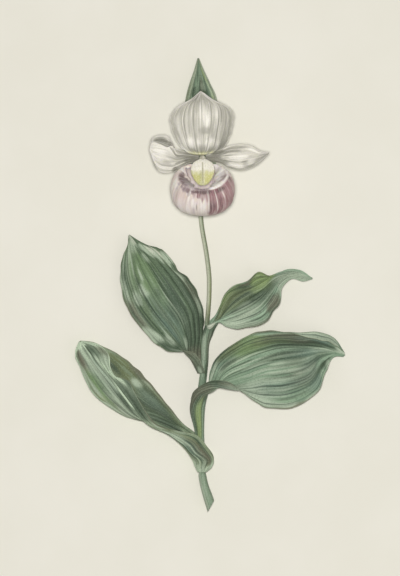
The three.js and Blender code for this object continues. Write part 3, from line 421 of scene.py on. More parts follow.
leafOne = {
    "guides": {
        "near": [
            (0.3, 54.6, 9.5), (-1, 58.2, 10), (-2.3, 61.8, 10.6), (-4.5, 65.8, 11.6), (-7.8, 68.5, 12.5),
            (-12.3, 68.8, 12.4), (-18.2, 68.1, 11.5), (-26.3, 69.5, 10.5), (-34.1, 75.1, 9.5),
            (-41.9, 83.2, 8.5), (-48.8, 92.1, 7.5), (-52.8, 102.7, 6.9), (-55.4, 114.4, 6.5),
            (-55.7, 123, 6.4), (-53.4, 130.4, 6), (-50.1, 136.5, 5.4), (-49.6, 143.5, 4.6),
        ],
        "nearMid": [
            (-3.6, 54.6, 8.7), (-6.2, 60.8, 10), (-11.5, 66.3, 11.8), (-16.2, 72.5, 12.4),
            (-24.7, 82.5, 12.2), (-37.1, 98.8, 11), (-45.5, 117, 10), (-48.4, 132, 8), (-49.4, 143.9, 4.8),
        ],
        "rib": [
            (-4.5, 54.6, 4.8), (-8.1, 61.8, 6.6), (-10.5, 68.9, 8.5), (-11.4, 78, 11), (-15.9, 91.7, 12.8),
            (-25.7, 106, 13), (-35.1, 120.9, 11.5), (-43.6, 134.2, 8.8), (-49.1, 144.3, 5),
        ],
        "farMid": [
            (-1.7, 54.6, 2.3), (-5.7, 63.4, 2.9), (-6.6, 69.9, 4.2), (-6, 80, 7), (-7.6, 93.9, 9.6),
            (-14.6, 107.9, 11), (-25.4, 122.2, 10.8), (-37.7, 135.2, 8.4), (-48.8, 144.1, 4.8),
        ],
        "far": [
            (1, 54.6, 2.6), (-0.1, 58.5, 2), (-1.3, 62.4, 1.6), (-1.8, 66, 1.4), (-2.1, 69.5, 1.3),
            (-1.6, 75.1, 1.1), (-0.6, 80.6, 1.4), (0, 87.1, 2.2), (-1.2, 94.2, 3.4), (-2.7, 101.7, 5),
            (-5.2, 108.2, 6.5), (-10, 115.5, 7.4), (-16.1, 120.4, 8), (-19.8, 126.2, 8.2), (-25.5, 133, 8),
            (-36.1, 136.2, 6.6), (-48.4, 143.7, 4.6),
        ],
    },
    "pleats": 4, "pleat": 0.4, "pleatFrom": 0.45, "waveNear": (0.9, 4, 0.5), "waveFar": (0.9, 5, 1.2),
    "frill": 0.04, "ribs": 12, "rib": 0.035, "uneven": 0.25, "seed": 11,
    "thick": 0.66, "upperSide": -1, "mesh": (150, 170),
    "washes": [
        ("cool", -26, 100.8, 39, 22.1, 30), ("green", -39, 122.8, 32.5, 10.4, 64),
        ("green", -30.6, 107.2, 26, 9.1, 38), ("green", -46.8, 126.8, 22.1, 5.2, 38),
        ("dark", -3.9, 94.2, 54.6, 7.8, 80), ("dark", -8.4, 77.4, 28.6, 9.1, 70),
        ("dark", -13.6, 90.4, 39, 5.2, 40), ("brown", -8.4, 108.6, 29.9, 5.2, 45),
        ("brown", -46.1, 91.6, 26, 7.2, 70), ("cool", -30.6, 87.8, 16.9, 7.8, 25),
        ("cool", -17.6, 82.5, 23.4, 6.5, 25), ("pale", -48.1, 139.1, 11.7, 4.5, 65),
        ("pale", -50.7, 124.2, 24.7, 2.6, 75), ("pale", -52, 108.6, 18.2, 2.6, 70),
        ("pale", -44.2, 102.7, 10.4, 4.5, 95), ("pale", -40.3, 108.6, 9.1, 5.8, 95),
        ("pale", -41.6, 116.4, 16.9, 1.55, 85), ("pale", -48.1, 126.8, 19.5, 1.45, 70),
        ("pale", -37.7, 135.2, 10.4, 2.6, 85), ("pale", -29.9, 130, 13, 1.55, 75),
        ("pale", -24, 130, 11, 5.8, 100), ("pale", -37.7, 80.6, 9.1, 5.2, 100),
        ("pale", -31.2, 77.4, 10.4, 5.2, 80), ("pale", -18.8, 96.2, 32.5, 1.05, 80),
        ("dark", -32.5, 119, 24.7, 1.7, 77), ("dark", -25.4, 107.2, 23.4, 1.95, 85),
        ("dark", -22.1, 117, 32.5, 1.55, 85), ("dark", -13.6, 98.8, 45.5, 1.55, 80),
        ("dark", -12.3, 117, 16.9, 3.2, 75), ("dark", -37, 99.4, 32.5, 1.7, 64),
        ("dark", -24, 87.8, 33.8, 1.55, 75), ("dark", -40.3, 90.4, 26, 2.3, 75),
        ("dark", -46.8, 113.1, 19.5, 1.45, 55), ("dark", -52.6, 117.6, 19.5, 3.2, 60),
        ("dark", -20.8, 69.5, 19.5, 2.6, 80), ("dark", -44.2, 133.9, 11.7, 1.55, 59),
        ("dark", -44.2, 113.8, 20.8, 1.3, 55), ("dark", -35.8, 126.8, 16.9, 1.3, 51),
        ("dark", -9.8, 72.8, 16.9, 1.95, 70), ("brown", -10.4, 65.6, 11.7, 5.8, 90),
        ("brown", -5.2, 58.5, 11.7, 4.5, 80), ("dark", -7.8, 61.8, 15.6, 1.55, 80),
        ("brown", "share", 12, 0, 13, 250, 80), ("dark", "share", 22, -10, 9, 120, 50),
        ("dark", -14.3, 70.2, 16.9, 3.2, 60), ("pale", -11.7, 68.2, 16.9, 0.9, 50),
        ("dark", -28, 126.8, 19.5, 1.05, 60), ("dark", -33.1, 132, 14.3, 1.05, 42),
        ("dark", -18.8, 122.8, 26, 0.9, 60), ("dark", -27.3, 113.8, 39, 0.85, 60),
        ("dark", -18.8, 104.6, 39, 0.85, 60), ("dark", -31.8, 90.4, 32.5, 0.9, 42),
        ("dark", -9.8, 102, 39, 0.85, 50), ("dark", -9.1, 61.8, 22.1, 1.6, 70),
        ("dark", -6.5, 60.4, 19.5, 1.05, 60), ("pale", -9.8, 68.9, 5.2, 0.8, 50),
        ("brown", -11.7, 68.2, 7.8, 5.2, 60), ("pale", -50, 134.6, 14.3, 3.2, 50),
        ("dark", "share", 10, -70, 12, 50, 70), ("brown", "share", 18, 0, 10, 250, 70),
        ("green", -49.4, 120.2, 23.4, 3.9, 50), ("pale", -54, 126.8, 19.5, 1.3, 50),
        ("dark", -17.6, 102, 39, 6.5, 30), ("dark", -5.8, 61.8, 13, 3.2, 40),
        ("dark", -26, 90.4, 26, 3.2, 25), ("cool", -21.4, 80.6, 19.5, 2.6, 50),
        ("pale", -24, 78, 14.3, 1.3, 40), ("pale", -37, 134.6, 13, 5.2, 85),
        ("pale", -31.2, 132.6, 9.1, 3.2, 70), ("pale", -41.6, 137.2, 6.5, 3.2, 60),
        ("pale", -3.9, 55.9, 5.2, 2.6, 60), ("green", -38.4, 112.4, 7.8, 3.9, 70),
        ("dark", -19.5, 93.6, 18.2, 5.2, 60), ("pale", -35.1, 76, 9.1, 2.6, 90),
        ("pale", -55.9, 114.4, 13, 2.6, 90), ("pale", -38.4, 130, 7.8, 2.6, 50),
        ("green", -38.4, 111.2, 9.1, 4.5, 80), ("pale", -23.4, 75.4, 10.4, 3.2, 50),
        ("pale", -24, 126.8, 9.1, 3.9, 60), ("pale", -16.2, 118.3, 10.4, 2.6, 50),
        ("pale", -3.9, 98.8, 13, 1.95, 40), ("dark", -31.2, 106.6, 7.8, 3.9, 60),
        ("dark", -46.8, 91, 13, 1.95, 50), ("dark", -42.9, 102, 7.8, 1.95, 50),
        ("pale", -11.7, 73.4, 7.8, 2.6, 40), ("paleHighlight", -35.8, 135.2, 9.1, 3.2, 60),
        ("paleHighlight", -37, 138.8, 10.4, 1.95, 90), ("paleHighlight", -31.8, 134.6, 10.4, 2.6, 80),
        ("paleHighlight", -28.6, 131.6, 6.5, 1.95, 60), ("paleHighlight", -47.4, 141.7, 7.8, 1.6, 45),
        ("paleHighlight", -52, 143.6, 3.2, 2.6, 35), ("dark", -46.8, 91.6, 6.5, 1.95, 50),
        ("green", -35.8, 108.6, 15.6, 5.2, 30),
    ],
}
leafOneFinish = dict(leafFinish, colour="#64775a", second="#566950", under="#5f6757", underSecond="#545c4b",
                     veins=9, veinDark=0.6, veinLight=0.14, veinSharp=24, strokeLight=0.1, strokeDark=0.14,
                     fibreDark=0.26, seed=4.0)
makeBlade("leaf_1_blade", "leaf_1", leafOne, leafOneFinish)

leafTwo = {
    "guides": {
        "near": [
            (-4.7, 44.2, 7.3), (-2.7, 59.8, 7.1), (-2.5, 72.8, 7.5), (-1.4, 80, 8.2), (0, 85.2, 9.6),
            (3.4, 82.8, 12.6), (9.1, 87.8, 12.8), (15.3, 84, 13.8), (25.4, 83.3, 14.5), (37.7, 86.3, 13.5),
            (44.5, 93.9, 12.6), (49.1, 101.4, 11.5), (50.4, 109.9, 9.5), (56.6, 115.6, 8), (63.7, 114, 8),
            (69.4, 115.5, 6),
        ],
        "nearMid": [
            (-2.3, 44.2, 8.5), (-0.3, 59.8, 8.3), (0.3, 72.8, 8.8), (1, 79.6, 9.6), (2.3, 84.5, 10.4),
            (3.6, 86.6, 11.3), (9.1, 88.5, 11.6), (14, 89.4, 12.2), (22.8, 92.3, 12), (32.8, 97.2, 11),
            (38.4, 102, 10.2), (42.9, 107.6, 9.3), (47.8, 113.4, 8), (54.9, 117.3, 7.5), (62.7, 116.2, 8),
            (69.5, 115.8, 6.1),
        ],
        "rib": [
            (-0.1, 44.2, 6), (1.7, 59.8, 6), (2.5, 72.8, 6.2), (4.7, 79, 7), (6.2, 82.9, 8),
            (8.2, 86.5, 8.6), (10.7, 90.4, 9), (13.7, 94.9, 8), (19.2, 101.1, 6.8), (26.3, 106, 6),
            (31.9, 108.7, 5.7), (37.1, 111.3, 5.4), (44.5, 116.7, 5), (53.3, 119.3, 6), (61.8, 118.3, 7.3),
            (69.7, 116, 6.2),
        ],
        "farMid": [
            (-1.7, 44.2, 3.7), (-0.1, 59.8, 3.7), (0.3, 72.8, 3.3), (2.6, 81.9, 3.4), (4.2, 85.8, 4),
            (6.2, 89.4, 5), (8.5, 93.3, 6.5), (10.7, 98.2, 7.8), (15.3, 106, 9), (22.4, 109.5, 9.6),
            (28.3, 111.6, 7.3), (34.5, 115.7, 9.2), (43.2, 117.8, 5.5), (53.3, 120.6, 5.5),
            (61.8, 119.8, 7), (69.5, 116.3, 6.1),
        ],
        "far": [
            (-4.7, 44.2, 4.7), (-2.7, 59.8, 4.9), (-2.5, 72.8, 4.5), (-0.3, 81.9, 3.2), (1.3, 85.5, 2.9),
            (3.2, 88.7, 3.2), (6.2, 92, 4.5), (9.2, 96.9, 7), (12.7, 106.3, 9.5), (19.2, 111.9, 11),
            (27.2, 114.3, 7.6), (34.8, 120.6, 11.6), (43.4, 117.5, 5.5), (53, 122, 5), (62.1, 121.4, 7),
            (69.4, 116.5, 6),
        ],
    },
    "pleats": 3, "pleat": 0.35, "pleatFrom": 0.5, "waveNear": (0.6, 4, 0.0), "waveFar": (0.7, 4, 1.0),
    "frill": 0.03, "ribs": 10, "rib": 0.04, "uneven": 0.12, "seed": 21,
    "thick": 0.64, "upperSide": 1, "mesh": (190, 140),
    "washes": [
        ("pale", 22.8, 91.6, 32.5, 7.8, 45), ("olive", 21.4, 106.6, 39, 11.7, 95),
        ("olive", 11, 95.5, 22.1, 6.5, 95), ("warm", 37, 115.7, 16.9, 11, 100),
        ("brown", 30.6, 117, 13, 1.95, 75), ("warm", 14.3, 106, 26, 3.9, 80),
        ("pale", 13, 106.6, 22.1, 1.55, 50), ("dark", 28, 111.2, 19.5, 3.2, 85),
        ("dark", 15.6, 98.2, 33.8, 1.95, 80), ("dark", 24.7, 105.3, 19.5, 1.7, 70),
        ("dark", 20.8, 110.5, 19.5, 1.95, 45), ("brown", 41, 119, 9.1, 1.95, 60),
        ("dark", 37, 109.8, 22.1, 5.2, 90), ("dark", 34.4, 106, 19.5, 3.9, 70),
        ("dark", 44.2, 116.4, 14.3, 1.7, 75), ("dark", 32.5, 102.7, 26, 1.3, 70),
        ("dark", 30.6, 89, 32.5, 1.15, 65), ("dark", 26, 94.2, 32.5, 1.05, 60),
        ("dark", 24.7, 98.2, 28.6, 1.05, 55), ("brown", 44.8, 100.1, 14.3, 9.8, 85),
        ("dark", 45.5, 93, 19.5, 2.6, 75), ("brown", 34.4, 85.8, 19.5, 3.2, 70),
        ("dark", 37, 91.6, 19.5, 1.05, 50), ("pale", 16.9, 86.4, 19.5, 3.9, 80),
        ("pale", 21.4, 90.4, 23.4, 1.45, 75), ("pale", 32.5, 96.8, 22.1, 1.95, 75),
        ("pale", 22.8, 92.3, 23.4, 1.15, 60), ("pale", 42.2, 107.2, 15.6, 1.45, 70),
        ("pale", 34.4, 93.6, 19.5, 1.15, 60), ("pale", 43.6, 111.8, 13, 1.15, 60),
        ("pale", 59.8, 118.3, 22.1, 9.1, 90), ("pale", 50, 112.4, 10.4, 5.2, 80),
        ("dark", 48.1, 118.3, 11.7, 1.15, 60), ("cool", 55.2, 116.4, 16.9, 1.95, 40),
        ("pale", 2.6, 85.2, 4.5, 5.8, 100), ("pale", -1.3, 72.8, 32.5, 2.6, 60),
        ("dark", 5.2, 79.3, 19.5, 3.2, 90), ("dark", 2, 68.2, 32.5, 1.55, 60),
        ("dark", 1.3, 57.8, 11.7, 1.95, 70), ("brown", 3.9, 74.8, 19.5, 1.95, 50),
        ("pale", 56.6, 115.7, 19.5, 6.5, 60), ("pale", 28, 85.8, 19.5, 3.2, 50),
        ("pale", 37, 87.8, 16.9, 1.3, 50), ("dark", 39.6, 107.9, 23.4, 5.8, 75),
        ("dark", 33.1, 102.7, 26, 4.5, 55), ("dark", 37, 104.6, 23.4, 1.05, 60),
        ("dark", 41, 102.7, 19.5, 0.9, 60), ("dark", 29.2, 98.8, 26, 0.9, 50),
        ("brown", 45.5, 102, 14.3, 6.5, 35), ("warm", 37, 115, 14.3, 10.4, 100),
        ("warm", 33.8, 109.8, 9.1, 3.9, 80), ("brown", 28.6, 112.4, 16.9, 1.55, 80),
        ("olive", 17.6, 102, 23.4, 6.5, 70), ("dark", 22.8, 104, 26, 1.95, 50),
        ("pale", 17.6, 85.8, 19.5, 4.5, 60), ("pale", 26.6, 86.4, 19.5, 1.95, 50),
        ("pale", 22.8, 96.2, 26, 1.95, 40), ("pale", 29.2, 91, 19.5, 1.3, 40),
        ("pale", 48.8, 117.6, 14.3, 3.2, 80), ("warm", 33.1, 113.8, 7.8, 5.2, 70),
        ("warm", 33.1, 114.4, 9.1, 5.2, 70), ("pale", 25.4, 98.8, 10.4, 3.9, 40),
        ("dark", 0, 87.1, 10.4, 3.2, 60), ("paleHighlight", 1, 85.9, 3.9, 1.95, 90),
        ("paleHighlight", 2.8, 84.8, 5.2, 3.2, 100), ("paleHighlight", 4.5, 85.5, 3.9, 2.6, 90),
        ("paleHighlight", 3.2, 83.2, 2.6, 2.6, 90), ("pale", 2.6, 84.5, 5.8, 3.9, 35),
        ("dark", -0.3, 82.9, 5.2, 1.95, 70), ("dark", -0.8, 85.8, 3.2, 1.3, 40),
    ],
}
leafTwoFinish = dict(leafFinish, colour="#a4bfa3", second="#97b197", veins=12, strokeLight=0.2,
                     strokeDark=0.3, seed=6.0)
makeBlade("leaf_2_blade", "leaf_2", leafTwo, leafTwoFinish)

leafThree = {
    "guides": {
        "near": [
            (-5.2, 5.2, 3.7), (-5.6, 17.6, 3.8), (-8.1, 31.2, 5.2), (-7.6, 42.6, 10.5), (2.6, 49.4, 14.5),
            (15, 49.3, 16), (28.9, 38.4, 13), (39.3, 31.5, 11.2), (57.2, 32.2, 9.8), (73, 41, 9),
            (78.9, 55.9, 8), (83.2, 64.7, 5.6), (89.6, 65.2, 4.5),
        ],
        "nearMid": [
            (-6, 5.2, 7), (-6.5, 17.6, 7.2), (-9.2, 31.5, 9.5), (-4.9, 41.6, 14), (4.9, 45.8, 16),
            (15.6, 44.7, 15.5), (28.9, 45.8, 10), (38.4, 47.8, 7.4), (51.4, 48.8, 6), (67, 53.6, 5.5),
            (75.4, 63.1, 5.5), (83.5, 66.7, 4.6), (90.4, 65.7, 4.5),
        ],
        "rib": [
            (-3.2, 5.2, 9), (-3.5, 17.6, 9.2), (-4.2, 31.5, 11.8), (-0.7, 39.6, 13.4), (6.2, 44.2, 12.8),
            (13.7, 55.2, 8.5), (27.3, 62.4, 5.2), (38, 66.3, 3), (49.4, 69.2, 1.4), (63.7, 70.4, 0.8),
            (73.5, 70.2, 1.4), (82.9, 68.9, 3.4), (90.9, 66.4, 4.5),
        ],
        "farMid": [
            (-0.5, 5.2, 7), (-0.9, 17.6, 7.2), (-0.3, 32.5, 9), (2.1, 41.6, 9.3), (5.5, 51.4, 7.5),
            (10.4, 61.4, 7.5), (24.1, 70.9, 9), (34.8, 74.6, 8.7), (46.8, 76.7, 8), (61.1, 75.7, 7),
            (72.2, 76, 6.5), (82.2, 72.2, 5.4), (90.7, 67.2, 4.5),
        ],
        "farFold": [
            (-1, 5.2, 5), (-1.4, 17.6, 5.2), (-0.5, 33.5, 6), (2.3, 44.5, 6.6), (4.2, 54.9, 5.9),
            (9.8, 64.8, 7.8), (23.1, 74, 10.6), (34, 78.7, 10.8), (46, 80.3, 10.4), (60.5, 80.3, 11.2),
            (73.1, 81.4, 9.6), (83.5, 77.2, 6.6), (90.4, 67.9, 4.5),
        ],
        "far": [
            (-1.3, 5.2, 3.7), (-1.7, 17.6, 3.8), (-0.7, 34.1, 4), (2.5, 46.5, 4.8), (3.2, 57.2, 4.8),
            (9.4, 67.1, 8), (22.4, 76.2, 11.6), (33.5, 81.4, 12.2), (45.5, 82.7, 12), (61.8, 78.5, 12.6),
            (73.5, 75.8, 12), (82.9, 72.9, 8.4), (90.1, 68.2, 4.5),
        ],
    },
    "pleats": 4, "pleat": 0.3, "pleatFrom": 0.45, "waveNear": (0.8, 4, 0.5), "waveFar": (0.7, 5, 0.2),
    "frill": 0.04, "ribs": 12, "rib": 0.04, "uneven": 0.2, "seed": 31,
    "thick": 0.64, "upperSide": 1, "mesh": (170, 170),
    "washes": [
        ("cool", 61.8, 46.8, 39, 15.6, 35), ("green", 61.8, 40.3, 39, 9.1, 20),
        ("brown", 52, 78, 39, 5.2, 80), ("dark", 61.8, 73.4, 52, 5.8, 80), ("dark", 42.2, 76, 39, 3.2, 50),
        ("green", 28, 71.5, 32.5, 11, 80), ("warm", 28, 72.8, 19.5, 7.8, 90),
        ("warm", 24, 77.4, 15.6, 3.2, 60), ("cool", 12.3, 62.4, 19.5, 6.5, 60),
        ("dark", 17.6, 72.8, 22.1, 1.95, 90), ("dark", 7.2, 65, 15.6, 1.95, 70),
        ("brown", 39, 81.9, 19.5, 1.95, 70), ("pale", 26.6, 64.4, 32.5, 1.55, 75),
        ("pale", 16.2, 60.4, 26, 1.3, 60), ("pale", 4.5, 55.2, 16.9, 4.5, 75),
        ("dark", 55.2, 65, 49.4, 1.7, 85), ("dark", 37, 61.8, 52, 1.3, 80),
        ("dark", 50, 59.2, 49.4, 1.3, 75), ("dark", 52, 52, 52, 1.3, 75),
        ("dark", 47.4, 46.1, 49.4, 1.15, 70), ("dark", 52, 42.9, 42.9, 1.15, 70),
        ("dark", 55.2, 38.4, 36.4, 1.3, 60), ("dark", 22.8, 60.4, 28.6, 1.15, 60),
        ("dark", 61.8, 68.9, 45.5, 1.3, 50), ("pale", 55.9, 62.4, 36.4, 2.3, 80),
        ("pale", 63.7, 55.9, 11.7, 2.6, 85), ("pale", 37, 49.4, 32.5, 4.5, 60),
        ("pale", 33.1, 41, 19.5, 9.1, 70), ("pale", 41, 33.8, 22.1, 4.5, 80),
        ("pale", 73.4, 39, 16.9, 3.2, 60), ("brown", 55.2, 33.1, 19.5, 3.2, 80),
        ("pale", 73.4, 78, 29.9, 5.8, 100), ("pale", 87.8, 67.6, 7.8, 3.2, 80),
        ("pale", 34.4, 55.9, 32.5, 2.6, 50), ("dark", 8.4, 48.1, 33.8, 5.8, 95),
        ("brown", 18.2, 44.8, 19.5, 4.5, 85), ("brown", -5.8, 40.3, 26, 10.4, 90),
        ("dark", -7.2, 29.2, 36.4, 3.2, 90), ("dark", -2, 33.8, 39, 1.95, 80),
        ("dark", -5.9, 35.4, 28.6, 1.3, 70), ("warm", -3.9, 24, 39, 3.2, 95),
        ("pale", 76, 69.5, 16.9, 3.2, 60), ("pale", 88.4, 68.2, 6.5, 3.2, 90),
        ("pale", 81.9, 68.9, 13, 2.6, 30), ("cool", 29.2, 43.6, 39, 6.5, 50),
        ("dark", 76, 73.4, 23.4, 3.9, 80), ("dark", 78.6, 62.4, 10.4, 1.95, 70),
        ("dark", 45.5, 65, 39, 0.9, 70), ("dark", 43.6, 69.5, 39, 0.85, 60),
        ("dark", 58.5, 55.9, 45.5, 0.9, 70), ("dark", 41, 54, 39, 0.85, 60),
        ("dark", 61.8, 47.4, 39, 0.9, 60), ("dark", 37, 45.5, 32.5, 0.8, 50),
        ("brown", 67, 54, 22.1, 15.6, 28), ("dark", 73.4, 55.2, 19.5, 5.2, 45),
        ("brown", 61.8, 59.2, 32.5, 5.2, 20), ("green", 26, 72.8, 16.9, 9.1, 80),
        ("olive", 15, 68.2, 23.4, 7.8, 70), ("olive", 37, 74.8, 23.4, 6.5, 60),
        ("brown", 55.2, 76, 39, 6.5, 60), ("pale", 31.8, 63, 32.5, 0.9, 80),
        ("pale", 52, 66.6, 32.5, 1.05, 80), ("pale", 74.8, 67.6, 22.1, 1.05, 35),
        ("pale", 11, 59.2, 19.5, 0.9, 80), ("pale", 17.6, 55.2, 19.5, 0.9, 60),
        ("pale", 73.4, 78.6, 22.1, 5.2, 100), ("pale", 90.4, 67, 5.2, 2.6, 90),
        ("pale", 29.2, 42.2, 26, 9.1, 60), ("pale", 61.8, 57.8, 19.5, 1.95, 60),
        ("pale", 45.5, 55.2, 26, 1.95, 50), ("cool", 69.5, 61.8, 15.6, 10.4, 35),
        ("cool", 72.2, 47.4, 13, 9.1, 40), ("cool", "share", 80, 60, 8, 10, 35),
        ("cool", 69.5, 68.9, 28.6, 3.9, 50), ("dark", 74.8, 66.3, 22.1, 1.95, 50),
        ("dark", 77.4, 60.4, 5.2, 6.5, 45), ("pale", 68.9, 58.5, 9.1, 3.9, 45),
        ("cool", 75.4, 48.8, 5.2, 10.4, 35), ("dark", 65, 52.6, 26, 0.9, 50),
        ("pale", 53.3, 33.8, 15.6, 3.2, 100), ("dark", 48.8, 67, 28.6, 3.9, 70),
        ("dark", 14.8, 59.8, 14.3, 3.2, 75), ("dark", 9.8, 67.6, 7.8, 3.9, 60),
        ("pale", 80, 60.4, 5.2, 5.2, 80), ("pale", 48.8, 44.2, 16.9, 3.2, 50),
        ("pale", 83.8, 74.8, 9.1, 3.9, 90), ("dark", 7.8, 65, 15.6, 3.9, 60),
        ("dark", 2, 39.6, 9.1, 3.9, 60), ("green", 27.3, 71.5, 10.4, 5.2, 60),
        ("warm", 27.3, 71.5, 7.8, 3.9, 35), ("dark", 58.5, 63.7, 16.9, 3.2, 55),
        ("cool", "share", 86, 55, 5, 10, 50), ("green", 48.8, 75.4, 16.9, 3.9, 35),
        ("pale", 48.8, 40.3, 15.6, 3.2, 40), ("pale", 33.1, 59.8, 19.5, 2.6, 40),
        ("dark", 11, 68.2, 10.4, 2.6, 60),
    ],
}
leafThreeFinish = dict(leafFinish, colour="#93ab90", second="#869f86", veins=11, strokeLight=0.08,
                       strokeDark=0.12, fibreDark=0.35, seed=9.0)
makeBlade("leaf_3_blade", "leaf_3", leafThree, leafThreeFinish)

